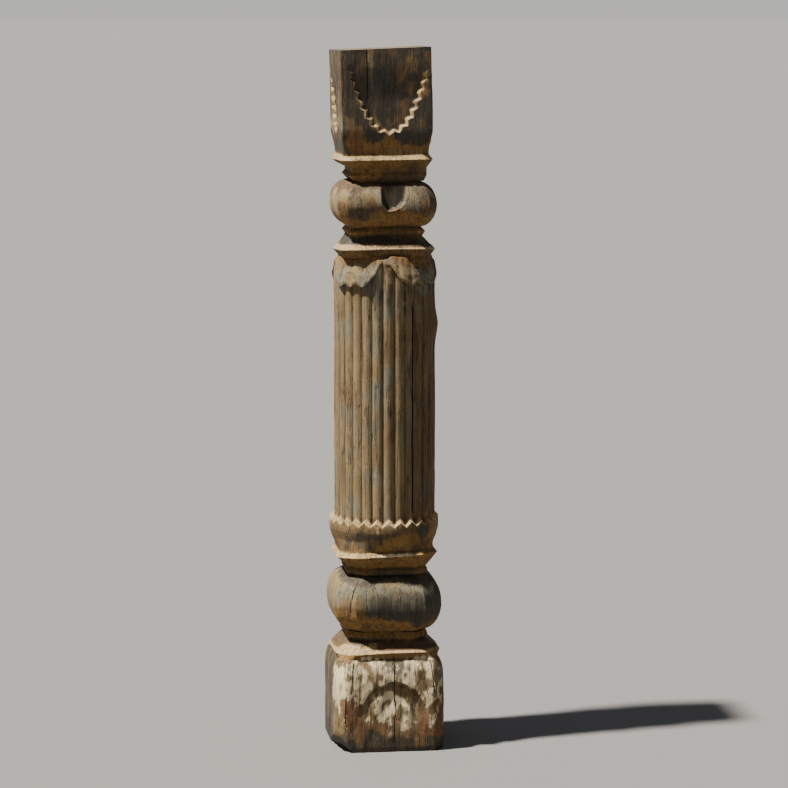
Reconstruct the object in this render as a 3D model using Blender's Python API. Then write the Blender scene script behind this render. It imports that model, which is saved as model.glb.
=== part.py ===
"""Carved wooden pillar: a square foot, cushion mouldings, a reeded shaft and a square head.

It is one trunk of wood, standing upright on its sawn foot. Metres, +Z up. The front faces -Y,
and the origin is the middle of the foot, on the floor.
"""

import math

import bmesh
import bpy
from mathutils import Matrix, Vector

# Heights of the carved stages, from the floor up
FOOT_BLOCK_HEIGHT = 0.219
FOOT_LIP_HEIGHT = 0.0135
FOOT_FLARE_HEIGHT = 0.0265
LOWER_BEAD_HEIGHT = 0.020
LOWER_CUSHION_HEIGHT = 0.1355
MIDDLE_BEAD_HEIGHT = 0.017
CUP_FLANGE_HEIGHT = 0.033
CUP_LEDGE_HEIGHT = 0.011
CUP_HEIGHT = 0.065
RIM_BEVEL_HEIGHT = 0.007
SHAFT_HEIGHT = 0.5495
COLLAR_HEIGHT = 0.0685
COLLAR_LIP_HEIGHT = 0.013
COLLAR_LEDGE_HEIGHT = 0.0145
COLLAR_FLARE_HEIGHT = 0.0195
UPPER_BEAD_HEIGHT = 0.0205
UPPER_CUSHION_HEIGHT = 0.1055
NECK_BEAD_HEIGHT = 0.022
HEAD_FLANGE_HEIGHT = 0.0295
HEAD_LEDGE_HEIGHT = 0.0115
HEAD_HEIGHT = 0.2485

# Half widths of the squared stages, from the trunk's axis to a flat
FOOT_HALF = 0.130
FOOT_TOP_HALF = 0.1175
FOOT_LIP_HALF = 0.1245
FOOT_NECK_HALF = 0.0912
LOWER_BEAD_HALF = 0.0975
LOWER_GROOVE_HALF = 0.0925
LOWER_CUSHION_END_HALF = 0.085
LOWER_CUSHION_HALF = 0.1274
MIDDLE_BEAD_HALF = 0.0961
CUP_NECK_HALF = 0.0912
CUP_FLANGE_HALF = 0.1188
CUP_LEDGE_HALF = 0.109
COLLAR_UNDER_HALF = 0.1017
COLLAR_LIP_HALF = 0.1117
COLLAR_LEDGE_HALF = 0.098
COLLAR_NECK_HALF = 0.0827
UPPER_BEAD_HALF = 0.0896
UPPER_GROOVE_HALF = 0.081
UPPER_CUSHION_END_HALF = 0.077
UPPER_CUSHION_HALF = 0.1152
NECK_BEAD_HALF = 0.091
NECK_HALF = 0.0869
HEAD_FLANGE_HALF = 0.1077
HEAD_FOOT_HALF = 0.0995
HEAD_HALF = 0.107

# The share of a half width that is cut off each corner
FOOT_CORNER = 0.19
LOWER_CORNER = 0.36
UPPER_CORNER = 0.165
HEAD_CORNER = 0.035

# The foot block's rounded shoulder, its eased foot and its worn front left corner
SHOULDER_HEIGHT = 0.068
FOOT_EASE = 0.003
FOOT_EASE_HEIGHT = 0.010
WORN_ALONG_LEFT = 0.190
WORN_ALONG_FRONT = 0.050
WORN_HEIGHT = 0.060

# The cup that the shaft stands in, and its toothed rim
CUP_FOOT_HALF = 0.110
CUP_BELLY_RADIUS = 0.124
CUP_RIM_RADIUS = 0.1295
CUP_BELLY_HEIGHT = 0.023
CUP_SHOULDER_HEIGHT = 0.045
TOOTH_HEIGHT = 0.009

# The round shaft, its reeds and the knot that swells its right side
REEDS = 28
SHAFT_RADIUS = 0.1195
SHAFT_SHIFT = 0.002
GROOVE_DEPTH = 0.0045
REED_TURN = math.radians(-2.3)
KNOT_HEIGHT = 0.452
KNOT_SPREAD = 0.030
KNOT_RISE = 0.0075
KNOT_ANGLE = math.radians(35)

# The collar of lobed leaves under the upper flange
COLLAR_RADIUS = 0.1272
COLLAR_BELLY_RADIUS = 0.1256
COLLAR_SHOULDER_RADIUS = 0.1155
COLLAR_TOP_RADIUS = 0.1120
COLLAR_BELLY_HEIGHT = 0.026
COLLAR_SHOULDER_HEIGHT = 0.058
LEAF_THICKNESS = 0.008
LEAF_UNDERCUT = 0.002
LOBE_HEIGHT = 0.010
LOBE_SPACING = math.radians(14.5)
LEAF_RISE = 0.052
LEAF_SIDE = math.radians(7)
LEAVES = (  # the angle of each leaf's tip from the front, and half the arc that it spans
    (math.radians(-46), math.radians(34)),
    (math.radians(38), math.radians(42)),
    (math.radians(134), math.radians(34)),
    (math.radians(-135), math.radians(34)),
)

# The notch in the front of the upper cushion
NOTCH_WIDTH = 0.059
NOTCH_HEIGHT = 0.036
NOTCH_DEPTH = 0.012
NOTCH_OFFSET = 0.010
NOTCH_SKEW = 0.55

# The toothed swag cut into each face of the head
SWAG_TEETH = 15
SWAG_HALF_WIDTH = 0.098
SWAG_DROP = 0.149
SWAG_FOOT = 0.051
SWAG_FULLNESS = 0.45
SWAG_TOOTH_HEIGHT = 0.008
SWAG_DEPTH = 0.008
SWAG_TOP_DEPTH = 0.001

# The head's curved foot, the trunk's bend and the slope of the sawn top
HEAD_SWEEP_HEIGHT = 0.062
HEAD_LEAN = 0.0093
NECK_SHIFT = 0.0085
SAW_SLOPE = 0.0086

# How finely the shapes are stepped, and how far a joined or a cutting shape reaches past
SQUARED_FLAT_STEPS = 4
SQUARED_CORNER_STEPS = 2
STEPS_PER_REED = 4
CUSHION_STEPS = 8
SHOULDER_STEPS = 4
HEAD_SWEEP_STEPS = 4
SHAFT_STEPS = 6
COLLAR_STEPS = (0.0, 0.2, 0.45, 0.8, 1.0)
SWAG_SAMPLES = 600
NOTCH_STEPS = 10
OVERREACH = 0.004

# Levels worked out from the stage heights
FOOT_LIP_Z = FOOT_BLOCK_HEIGHT
FOOT_EDGE_Z = FOOT_LIP_Z + FOOT_LIP_HEIGHT
LOWER_BEAD_Z = FOOT_EDGE_Z + FOOT_FLARE_HEIGHT
LOWER_CUSHION_Z = LOWER_BEAD_Z + LOWER_BEAD_HEIGHT
MIDDLE_BEAD_Z = LOWER_CUSHION_Z + LOWER_CUSHION_HEIGHT
CUP_FLANGE_Z = MIDDLE_BEAD_Z + MIDDLE_BEAD_HEIGHT
CUP_EDGE_Z = CUP_FLANGE_Z + CUP_FLANGE_HEIGHT
CUP_Z = CUP_EDGE_Z + CUP_LEDGE_HEIGHT
RIM_Z = CUP_Z + CUP_HEIGHT
SHAFT_Z = RIM_Z + RIM_BEVEL_HEIGHT
COLLAR_Z = SHAFT_Z + SHAFT_HEIGHT
COLLAR_LIP_Z = COLLAR_Z + COLLAR_HEIGHT
COLLAR_EDGE_Z = COLLAR_LIP_Z + COLLAR_LIP_HEIGHT
COLLAR_FLARE_Z = COLLAR_EDGE_Z + COLLAR_LEDGE_HEIGHT
UPPER_BEAD_Z = COLLAR_FLARE_Z + COLLAR_FLARE_HEIGHT
UPPER_CUSHION_Z = UPPER_BEAD_Z + UPPER_BEAD_HEIGHT
NECK_BEAD_Z = UPPER_CUSHION_Z + UPPER_CUSHION_HEIGHT
HEAD_FLANGE_Z = NECK_BEAD_Z + NECK_BEAD_HEIGHT
HEAD_EDGE_Z = HEAD_FLANGE_Z + HEAD_FLANGE_HEIGHT
HEAD_Z = HEAD_EDGE_Z + HEAD_LEDGE_HEIGHT
TOP_Z = HEAD_Z + HEAD_HEIGHT


def clear_scene():
    for item in list(bpy.data.objects):
        bpy.data.objects.remove(item, do_unlink=True)


def new_collection(name):
    collection = bpy.data.collections.new(name)
    bpy.context.scene.collection.children.link(collection)
    return collection


def old_wood():
    material = bpy.data.materials.new("old_wood")
    material.use_nodes = True
    shader = material.node_tree.nodes["Principled BSDF"]
    shader.inputs["Base Color"].default_value = (0.13, 0.085, 0.045, 1.0)
    shader.inputs["Roughness"].default_value = 0.85
    shader.inputs["Metallic"].default_value = 0.0
    return material


def smooth_step(share):
    share = min(1.0, max(0.0, share))
    return share * share * (3.0 - 2.0 * share)


def mix(start, end, share):
    return start + (end - start) * share


def lean(height):
    """How far the trunk has bent sideways at a height: nothing up to the collar."""
    return -HEAD_LEAN * max(0.0, height - COLLAR_LIP_Z) / (TOP_Z - COLLAR_LIP_Z)


def squared_points(half, corner, flat_steps, corner_steps):
    """A square with cut corners, anticlockwise from the left end of the front flat."""
    reach = half * (1.0 - corner)
    points = []
    for side in range(4):
        turn = Matrix.Rotation(side * math.pi / 2, 2)
        start, end, turned_start = Vector((-reach, -half)), Vector((reach, -half)), Vector((half, -reach))
        points += [turn @ start.lerp(end, i / flat_steps) for i in range(flat_steps)]
        points += [turn @ end.lerp(turned_start, i / corner_steps) for i in range(corner_steps)]
    return points


def squared_ring(height, half, corner, shift=0.0):
    """One level of a squared moulding."""
    points = squared_points(half, corner, SQUARED_FLAT_STEPS, SQUARED_CORNER_STEPS)
    return [Vector((p.x + shift + lean(height), p.y, height)) for p in points]


def cushion_rings(bottom, height, end_half, full_half, corner):
    """A cushion moulding, whose side is half an ellipse."""
    middle, reach = bottom + height / 2, height / 2
    rings = []
    for step in range(1, CUSHION_STEPS):
        angle = math.pi * (step / CUSHION_STEPS - 0.5)
        half = mix(end_half, full_half, math.cos(angle))
        rings.append(squared_ring(middle + reach * math.sin(angle), half, corner))
    return rings


def shoulder_rings():
    """The foot block's upper part, which rounds in to the lip above it."""
    start = FOOT_LIP_Z - SHOULDER_HEIGHT
    rings = []
    for step in range(SHOULDER_STEPS):
        angle = math.pi / 2 * step / SHOULDER_STEPS
        half = mix(FOOT_TOP_HALF, FOOT_HALF, math.cos(angle))
        rings.append(squared_ring(start + SHOULDER_HEIGHT * math.sin(angle), half, FOOT_CORNER))
    return rings


def foot_rings():
    """Levels from the floor to the ledge that the cup stands on."""
    rings = [
        squared_ring(0.0, FOOT_HALF - FOOT_EASE, FOOT_CORNER),
        squared_ring(FOOT_EASE_HEIGHT, FOOT_HALF, FOOT_CORNER),
    ]
    rings += shoulder_rings()
    rings += [
        squared_ring(FOOT_LIP_Z, FOOT_TOP_HALF, FOOT_CORNER),
        squared_ring(FOOT_EDGE_Z, FOOT_LIP_HALF, LOWER_CORNER),
        squared_ring(LOWER_BEAD_Z, FOOT_NECK_HALF, LOWER_CORNER),
        squared_ring(LOWER_BEAD_Z + LOWER_BEAD_HEIGHT / 2, LOWER_BEAD_HALF, LOWER_CORNER),
        squared_ring(LOWER_CUSHION_Z, LOWER_GROOVE_HALF, LOWER_CORNER),
    ]
    rings += cushion_rings(
        LOWER_CUSHION_Z, LOWER_CUSHION_HEIGHT, LOWER_CUSHION_END_HALF, LOWER_CUSHION_HALF, LOWER_CORNER
    )
    rings += [
        squared_ring(MIDDLE_BEAD_Z, LOWER_GROOVE_HALF, LOWER_CORNER),
        squared_ring(CUP_FLANGE_Z - MIDDLE_BEAD_HEIGHT / 3, MIDDLE_BEAD_HALF, LOWER_CORNER),
        squared_ring(CUP_FLANGE_Z, CUP_NECK_HALF, LOWER_CORNER),
        squared_ring(CUP_EDGE_Z, CUP_FLANGE_HALF, LOWER_CORNER),
        squared_ring(CUP_Z, CUP_LEDGE_HALF, LOWER_CORNER),
    ]
    return rings


def head_sweep_rings():
    """The head's foot, which curves out to the head's full width."""
    rings = []
    for step in range(1, HEAD_SWEEP_STEPS + 1):
        share = step / HEAD_SWEEP_STEPS
        half = mix(HEAD_FOOT_HALF, HEAD_HALF, smooth_step(share))
        rings.append(squared_ring(HEAD_Z + HEAD_SWEEP_HEIGHT * share, half, HEAD_CORNER))
    return rings


def head_rings():
    """Levels from inside the collar's top to the sawn top, which slopes down to the left."""
    rings = [
        squared_ring(COLLAR_LIP_Z - 2 * OVERREACH, COLLAR_UNDER_HALF - 4 * OVERREACH, UPPER_CORNER),
        squared_ring(COLLAR_LIP_Z, COLLAR_UNDER_HALF, UPPER_CORNER),
        squared_ring(COLLAR_EDGE_Z, COLLAR_LIP_HALF, UPPER_CORNER),
        squared_ring(COLLAR_FLARE_Z, COLLAR_LEDGE_HALF, UPPER_CORNER),
        squared_ring(UPPER_BEAD_Z, COLLAR_NECK_HALF, UPPER_CORNER),
        squared_ring(UPPER_BEAD_Z + UPPER_BEAD_HEIGHT / 2, UPPER_BEAD_HALF, UPPER_CORNER),
        squared_ring(UPPER_CUSHION_Z, UPPER_GROOVE_HALF, UPPER_CORNER),
    ]
    rings += cushion_rings(
        UPPER_CUSHION_Z, UPPER_CUSHION_HEIGHT, UPPER_CUSHION_END_HALF, UPPER_CUSHION_HALF, UPPER_CORNER
    )
    rings += [
        squared_ring(NECK_BEAD_Z, UPPER_GROOVE_HALF, UPPER_CORNER, NECK_SHIFT),
        squared_ring(HEAD_FLANGE_Z - NECK_BEAD_HEIGHT / 3, NECK_BEAD_HALF, UPPER_CORNER, NECK_SHIFT / 2),
        squared_ring(HEAD_FLANGE_Z, NECK_HALF, UPPER_CORNER, NECK_SHIFT),
        squared_ring(HEAD_FLANGE_Z + HEAD_FLANGE_HEIGHT / 3, NECK_HALF, UPPER_CORNER, NECK_SHIFT),
        squared_ring(HEAD_EDGE_Z, HEAD_FLANGE_HALF, UPPER_CORNER),
        squared_ring(HEAD_Z, HEAD_FOOT_HALF, UPPER_CORNER),
    ]
    rings += head_sweep_rings()
    top = squared_ring(TOP_Z, HEAD_HALF, HEAD_CORNER)
    right = max(point.x for point in top)
    for point in top:
        point.z -= SAW_SLOPE * (right - point.x) / (2 * HEAD_HALF)
    rings.append(top)
    return rings


def reed_columns():
    """Each column's angle from the front, and its place in a reed: 0 on the ridge, 1 in the groove."""
    total = REEDS * STEPS_PER_REED
    columns = []
    for column in range(total):
        step = column - cup_flat_steps() // 2
        phase = step % STEPS_PER_REED / STEPS_PER_REED
        columns.append((2 * math.pi * step / total + REED_TURN, 2 * min(phase, 1.0 - phase)))
    return columns


def cup_flat_steps():
    """Columns on one flat of the cup's eight-sided foot, so that corners and flats are alike."""
    per_side = REEDS * STEPS_PER_REED // 4
    return int(per_side * 5 / 7 / STEPS_PER_REED + 0.5) * STEPS_PER_REED


def turned_point(angle, radius, height, shift=0.0):
    """A point at an angle from the front, counted to the right."""
    return Vector((radius * math.sin(angle) + shift, -radius * math.cos(angle), height))


def shaft_radius(angle, groove, height):
    """The reeded surface, swollen on the right by the knot."""
    from_knot = (height - SHAFT_Z - KNOT_HEIGHT) / KNOT_SPREAD
    around = (angle - math.pi / 2) / KNOT_ANGLE
    knot = KNOT_RISE * math.exp(-(from_knot**2) - around**2)
    return SHAFT_RADIUS + knot - GROOVE_DEPTH * groove**2


def reeded_point(angle, groove, height):
    """A point on the shaft, which stands a little to the right of the foot's middle."""
    return turned_point(angle, shaft_radius(angle, groove, height), height, SHAFT_SHIFT)


def cup_rings():
    """The cup, from its eight-sided foot to the round rim whose teeth stand before the reeds."""
    columns = reed_columns()
    flat = cup_flat_steps()
    per_side = REEDS * STEPS_PER_REED // 4
    foot = squared_points(CUP_FOOT_HALF, LOWER_CORNER, flat, per_side - flat)
    sunk = [Vector((p.x, p.y, CUP_EDGE_Z - OVERREACH)) for p in foot]
    level = [Vector((p.x, p.y, CUP_Z)) for p in foot]
    belly_z, shoulder_z = CUP_Z + CUP_BELLY_HEIGHT, CUP_Z + CUP_SHOULDER_HEIGHT
    belly = [turned_point(angle, CUP_BELLY_RADIUS, belly_z) for angle, groove in columns]
    shoulder = [turned_point(angle, CUP_RIM_RADIUS, shoulder_z) for angle, groove in columns]
    rim, inner = [], []
    for angle, groove in columns:
        tooth = TOOTH_HEIGHT * (0.5 - groove)
        rim.append(turned_point(angle, CUP_RIM_RADIUS, RIM_Z + tooth))
        inner.append(reeded_point(angle, groove, SHAFT_Z + tooth))
    return [sunk, level, belly, shoulder, rim, inner]


def shaft_rings():
    """The reeded shaft between the rim and the leaves."""
    start = SHAFT_Z + TOOTH_HEIGHT
    rings = []
    for step in range(SHAFT_STEPS + 1):
        height = mix(start, COLLAR_Z - OVERREACH, step / SHAFT_STEPS)
        rings.append([reeded_point(angle, groove, height) for angle, groove in reed_columns()])
    return rings


def leaf_at(angle):
    """How much leaf covers an angle from the front, and how high the leaf's lower edge is there."""
    cover, rise = 0.0, LEAF_RISE
    for tip, half_span in LEAVES:
        off = abs((angle - tip + math.pi) % (2 * math.pi) - math.pi)
        if off >= half_span:
            continue
        cover = smooth_step((half_span - off) / LEAF_SIDE)
        lobe = LOBE_HEIGHT * math.sin(math.pi * off / LOBE_SPACING) ** 2
        past = max(0.0, off - 1.5 * LOBE_SPACING) / (half_span - 1.5 * LOBE_SPACING)
        rise = min(LEAF_RISE, lobe + LEAF_RISE * past)
    return cover, rise


def collar_radius(above):
    """The leaves' own profile, by height above the lowest leaf tip."""
    if above < COLLAR_BELLY_HEIGHT:
        return mix(COLLAR_RADIUS, COLLAR_BELLY_RADIUS, above / COLLAR_BELLY_HEIGHT)
    if above < COLLAR_SHOULDER_HEIGHT:
        span = COLLAR_SHOULDER_HEIGHT - COLLAR_BELLY_HEIGHT
        return mix(COLLAR_BELLY_RADIUS, COLLAR_SHOULDER_RADIUS, (above - COLLAR_BELLY_HEIGHT) / span)
    share = (above - COLLAR_SHOULDER_HEIGHT) / (COLLAR_HEIGHT - COLLAR_SHOULDER_HEIGHT)
    return mix(COLLAR_SHOULDER_RADIUS, COLLAR_TOP_RADIUS, share)


def collar_rings():
    """The leaves, from the undercut below their edges to the flange that they hang from."""
    columns = reed_columns()
    under = []
    rings = [[] for step in COLLAR_STEPS]
    for angle, groove in columns:
        cover, rise = leaf_at(angle)
        under_z = COLLAR_Z + rise + LEAF_UNDERCUT * cover
        between = collar_radius(rise) - LEAF_THICKNESS * (1.0 - cover)
        bare = min(shaft_radius(angle, groove, under_z), between)
        under.append(turned_point(angle, bare, under_z, SHAFT_SHIFT))
        for ring, share in zip(rings, COLLAR_STEPS):
            above = mix(rise, COLLAR_HEIGHT, share)
            leaf = collar_radius(above)
            bare = min(shaft_radius(angle, groove, COLLAR_Z + above), leaf - LEAF_THICKNESS)
            height = COLLAR_Z + above + OVERREACH * share
            ring.append(turned_point(angle, mix(bare, leaf, cover), height, SHAFT_SHIFT))
    sunk_z = COLLAR_LIP_Z + 2 * OVERREACH
    sunk = [turned_point(angle, COLLAR_NECK_HALF, sunk_z) for angle, groove in columns]
    return [under] + rings + [sunk]


def loft(name, rings):
    """Carry a ring of points up through the levels, and close both ends."""
    shape = bmesh.new()
    levels = [[shape.verts.new(point) for point in ring] for ring in rings]
    shape.faces.new(reversed(levels[0]))
    for lower, upper in zip(levels, levels[1:]):
        for i in range(len(lower)):
            shape.faces.new((lower[i - 1], lower[i], upper[i], upper[i - 1]))
    shape.faces.new(levels[-1])
    return finish_mesh(name, shape)


def finish_mesh(name, shape):
    bmesh.ops.recalc_face_normals(shape, faces=shape.faces)
    mesh = bpy.data.meshes.new(name)
    shape.to_mesh(mesh)
    shape.free()
    return bpy.data.objects.new(name, mesh)


def swag_edge():
    """Points along the toothed lower edge of a swag, left to right, each with its outward direction."""
    samples = []
    for i in range(SWAG_SAMPLES + 1):
        across = SWAG_HALF_WIDTH * (2 * i / SWAG_SAMPLES - 1)
        drop = SWAG_DROP * (abs(across) / SWAG_HALF_WIDTH) ** (1 / SWAG_FULLNESS)
        samples.append(Vector((across, HEAD_Z + SWAG_FOOT + drop)))
    lengths = [0.0]
    for before, after in zip(samples, samples[1:]):
        lengths.append(lengths[-1] + (after - before).length)
    points = []
    place = 1
    for i in range(2 * SWAG_TEETH + 1):
        target = lengths[-1] * i / (2 * SWAG_TEETH)
        while place < SWAG_SAMPLES and lengths[place] < target:
            place += 1
        along = (samples[place] - samples[place - 1]).normalized()
        outward = Vector((along.y, -along.x))
        tooth = SWAG_TOOTH_HEIGHT * (0.5 if i % 2 else -0.5)
        points.append((samples[place] + outward * tooth, outward))
    return points


def swag_depth(height):
    """The swag's floor slopes out, from its deep foot to the top of the head."""
    share = (height - HEAD_Z - SWAG_FOOT) / (HEAD_HEIGHT - SWAG_FOOT)
    return mix(SWAG_DEPTH, SWAG_TOP_DEPTH, share)


def swag_cutter(side):
    """The hollow of one swag, with its sides bevelled at 45 degrees, turned to its face of the head."""
    edge = swag_edge()
    above = TOP_Z + 2 * OVERREACH
    edge.append((Vector((edge[-1][0].x, above)), Vector((1.0, 0.0))))
    edge.append((Vector((edge[0][0].x, above)), Vector((-1.0, 0.0))))
    turn = Matrix.Rotation(side * math.pi / 2, 3, "Z")
    outer, inner = [], []
    for point, outward in edge:
        depth = swag_depth(point.y)
        for ring, reach in ((outer, OVERREACH), (inner, -depth)):
            moved = point + outward * reach
            placed = turn @ Vector((moved.x, -HEAD_HALF - reach, moved.y))
            ring.append(placed + Vector((lean(moved.y), 0.0, 0.0)))
    return loft("swag_cutter_%d" % side, [outer, inner])


def notch_cutter():
    """The pointed scoop cut down from the top of the upper cushion's front."""
    middle = UPPER_CUSHION_Z + UPPER_CUSHION_HEIGHT / 2
    top = Vector((0.0, 0.0, UPPER_CUSHION_HEIGHT / 2))
    outline = []
    for i in range(NOTCH_STEPS + 1):
        share = i / NOTCH_STEPS
        drop = NOTCH_HEIGHT / 2 * math.sin(math.pi * share**NOTCH_SKEW)
        outline.append(Vector((NOTCH_OFFSET + NOTCH_WIDTH * (share - 0.5), 0.0, middle - drop)))
    outline += [outline[-1] + top, outline[0] + top]
    front = -UPPER_CUSHION_HALF - OVERREACH
    floor = -UPPER_CUSHION_HALF + NOTCH_DEPTH
    return loft("notch_cutter", [[Vector((p.x, y, p.z)) for p in outline] for y in (front, floor)])


def worn_corner_cutter():
    """A wedge that takes off the foot's front left corner, where it has worn away."""
    corner = Vector((-FOOT_HALF - OVERREACH, -FOOT_HALF - OVERREACH, -OVERREACH))
    reaches = (
        Vector((0.0, WORN_ALONG_LEFT, 0.0)),
        Vector((WORN_ALONG_FRONT, 0.0, 0.0)),
        Vector((0.0, 0.0, WORN_HEIGHT)),
    )
    shape = bmesh.new()
    for point in [corner] + [corner + reach for reach in reaches]:
        shape.verts.new(point)
    bmesh.ops.convex_hull(shape, input=shape.verts)
    return finish_mesh("worn_corner_cutter", shape)


def add_boolean(target, operand, operation):
    modifier = target.modifiers.new(operand.name, "BOOLEAN")
    modifier.operation = operation
    modifier.solver = "EXACT"
    modifier.object = operand


def build_pillar():
    clear_scene()
    parts, helpers = new_collection("wooden_pillar"), new_collection("cutters")
    pillar = loft("pillar", foot_rings())
    pillar.data.materials.append(old_wood())
    parts.objects.link(pillar)
    shaft = loft("shaft_shape", cup_rings() + shaft_rings() + collar_rings())
    joined = [shaft, loft("head_shape", head_rings())]
    cutting = [swag_cutter(side) for side in range(4)] + [notch_cutter(), worn_corner_cutter()]
    for helper in joined + cutting:
        helpers.objects.link(helper)
        helper.hide_render = True
        helper.display_type = "WIRE"
        add_boolean(pillar, helper, "UNION" if helper in joined else "DIFFERENCE")


build_pillar()
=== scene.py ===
"""The carved wooden pillar, dressed: one weathered trunk on a plain pale floor.

Metres, +Z up. The front faces -Y, and the origin is the middle of the foot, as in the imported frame.
"""

import math

import bpy
import numpy as np
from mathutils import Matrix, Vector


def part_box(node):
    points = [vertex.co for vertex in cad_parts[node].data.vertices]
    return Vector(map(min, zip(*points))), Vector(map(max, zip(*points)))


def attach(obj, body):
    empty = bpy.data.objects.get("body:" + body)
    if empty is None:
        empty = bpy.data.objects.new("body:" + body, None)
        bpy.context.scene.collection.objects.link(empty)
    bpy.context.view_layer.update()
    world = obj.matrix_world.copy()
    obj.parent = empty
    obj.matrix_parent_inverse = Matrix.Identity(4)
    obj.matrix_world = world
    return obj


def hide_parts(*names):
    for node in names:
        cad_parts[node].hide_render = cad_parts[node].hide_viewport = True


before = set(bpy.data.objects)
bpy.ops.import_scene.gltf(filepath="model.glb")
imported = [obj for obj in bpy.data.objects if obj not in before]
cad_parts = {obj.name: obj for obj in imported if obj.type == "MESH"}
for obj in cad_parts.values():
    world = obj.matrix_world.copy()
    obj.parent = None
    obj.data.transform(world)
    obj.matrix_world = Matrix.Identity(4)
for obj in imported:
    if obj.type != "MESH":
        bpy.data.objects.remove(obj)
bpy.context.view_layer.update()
TRUNK_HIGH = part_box("pillar")[1]

# The blank that the trunk is carved from, how finely it is divided, and what counts as its end or side
COLUMNS_PER_SIDE = 56
COLUMNS = 4 * COLUMNS_PER_SIDE
HALF_SIDE = COLUMNS_PER_SIDE // 2
END_RINGS = 3
END_INSET = 0.024
END_FACING = 0.9
SIDE_SHARE = 0.99

# Bends sharper than this are shaded as arrises
SMOOTH_ANGLE = math.radians(30)

# The levels of the carving, from the floor up
FOOT_EASE_Z = 0.010
SHOULDER_Z = 0.151
FOOT_LIP_Z = 0.219
FOOT_EDGE_Z = 0.2325
LOWER_BEAD_Z = 0.259
LOWER_CUSHION_Z = 0.279
MIDDLE_BEAD_Z = 0.4145
CUP_FLANGE_Z = 0.4315
CUP_EDGE_Z = 0.4645
CUP_Z = 0.4755
RIM_Z = 0.5405
SHAFT_Z = 0.5475
COLLAR_Z = 1.097
COLLAR_LIP_Z = 1.1655
COLLAR_EDGE_Z = 1.1785
COLLAR_FLARE_Z = 1.193
UPPER_BEAD_Z = 1.2125
UPPER_CUSHION_Z = 1.233
NECK_BEAD_Z = 1.3385
HEAD_FLANGE_Z = 1.3605
HEAD_EDGE_Z = 1.390
HEAD_Z = 1.4015
HEAD_SWEEP_HEIGHT = 0.062
TOP_Z = TRUNK_HIGH.z

# Half widths of the squared stages
FOOT_HALF = TRUNK_HIGH.x
FOOT_EASE = 0.003
FOOT_TOP_HALF = 0.1175
FOOT_LIP_HALF = 0.1245
FOOT_NECK_HALF = 0.0912
LOWER_BEAD_HALF = 0.0975
LOWER_GROOVE_HALF = 0.0925
LOWER_CUSHION_END_HALF = 0.085
LOWER_CUSHION_HALF = 0.1274
MIDDLE_BEAD_HALF = 0.0961
CUP_NECK_HALF = 0.0912
CUP_FLANGE_HALF = 0.1188
CUP_FOOT_HALF = 0.110
COLLAR_UNDER_HALF = 0.1017
COLLAR_LIP_HALF = 0.1117
COLLAR_LEDGE_HALF = 0.098
COLLAR_NECK_HALF = 0.0827
UPPER_BEAD_HALF = 0.0896
UPPER_GROOVE_HALF = 0.081
UPPER_CUSHION_END_HALF = 0.077
UPPER_CUSHION_HALF = 0.1152
NECK_BEAD_HALF = 0.091
NECK_HALF = 0.0869
HEAD_FLANGE_HALF = 0.1077
HEAD_FOOT_HALF = 0.0995
HEAD_HALF = 0.107

# The share of a half width that is cut off each corner, and the columns on half of each flat
FOOT_CORNER, FOOT_FLAT = 0.19, 24
LOWER_CORNER, LOWER_FLAT = 0.36, 20
COLLAR_LIP_CORNER, COLLAR_LIP_FLAT = 0.30, 22
UPPER_CORNER, UPPER_FLAT = 0.165, 24
HEAD_CORNER, HEAD_FLAT = 0.035, 27

# How far up its stage each narrow bead stands, and the cove below the head
BEAD_PLACE = 0.66
COVE_PLACE = 0.33

# Rows of points on the shoulder, the leaves and the head, and the share of the head's rows at which
# its swag starts and ends
SHOULDER_ROWS = 20
LEAF_ROWS = 20
HEAD_ROWS = 86
SWAG_ROWS_START, SWAG_ROWS_END = 0.11, 0.89

# The cup, the reeded shaft and the knot that swells its right side
CUP_BELLY_RADIUS = 0.124
CUP_RIM_RADIUS = 0.1295
CUP_BELLY_HEIGHT = 0.023
CUP_SHOULDER_HEIGHT = 0.045
TOOTH_HEIGHT = 0.0115
REEDS = 28
SHAFT_RADIUS = 0.1195
SHAFT_SHIFT = 0.002
GROOVE_DEPTH = 0.0055
REED_ROUNDNESS = 2.2
REED_TURN = math.radians(-2.3)
KNOT_Z = 0.9995
KNOT_SPREAD = 0.030
KNOT_RISE = 0.0072
KNOT_ANGLE = math.radians(35)

# The collar of leaves
COLLAR_RADIUS = 0.1272
COLLAR_BELLY_RADIUS = 0.1256
COLLAR_SHOULDER_RADIUS = 0.1155
COLLAR_TOP_RADIUS = 0.1120
COLLAR_HEIGHT = COLLAR_LIP_Z - COLLAR_Z
COLLAR_BELLY_HEIGHT = 0.026
COLLAR_SHOULDER_HEIGHT = 0.058
LEAF_THICKNESS = 0.008
LEAF_UNDERCUT = 0.003
LEAF_MERGE = 0.005
LOBE_HEIGHT = 0.007
LOBE_SPACING = math.radians(14.5)
LEAF_RISE = 0.052
LEAF_SIDE = math.radians(7)
LEAVES = (  # the angle of each leaf's tip from the front, and half the arc that it spans
    (math.radians(-46), math.radians(34)),
    (math.radians(38), math.radians(42)),
    (math.radians(134), math.radians(34)),
    (math.radians(-135), math.radians(34)),
)

# The raised rim along each leaf's lower edge, and the vein down each of its lobes
LEAF_RIM_RISE = 0.0022
LEAF_RIM_PLACE = 0.006
LEAF_VEIN_DEPTH = 0.0022
LEAF_VEIN_SHARPNESS = 8

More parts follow.
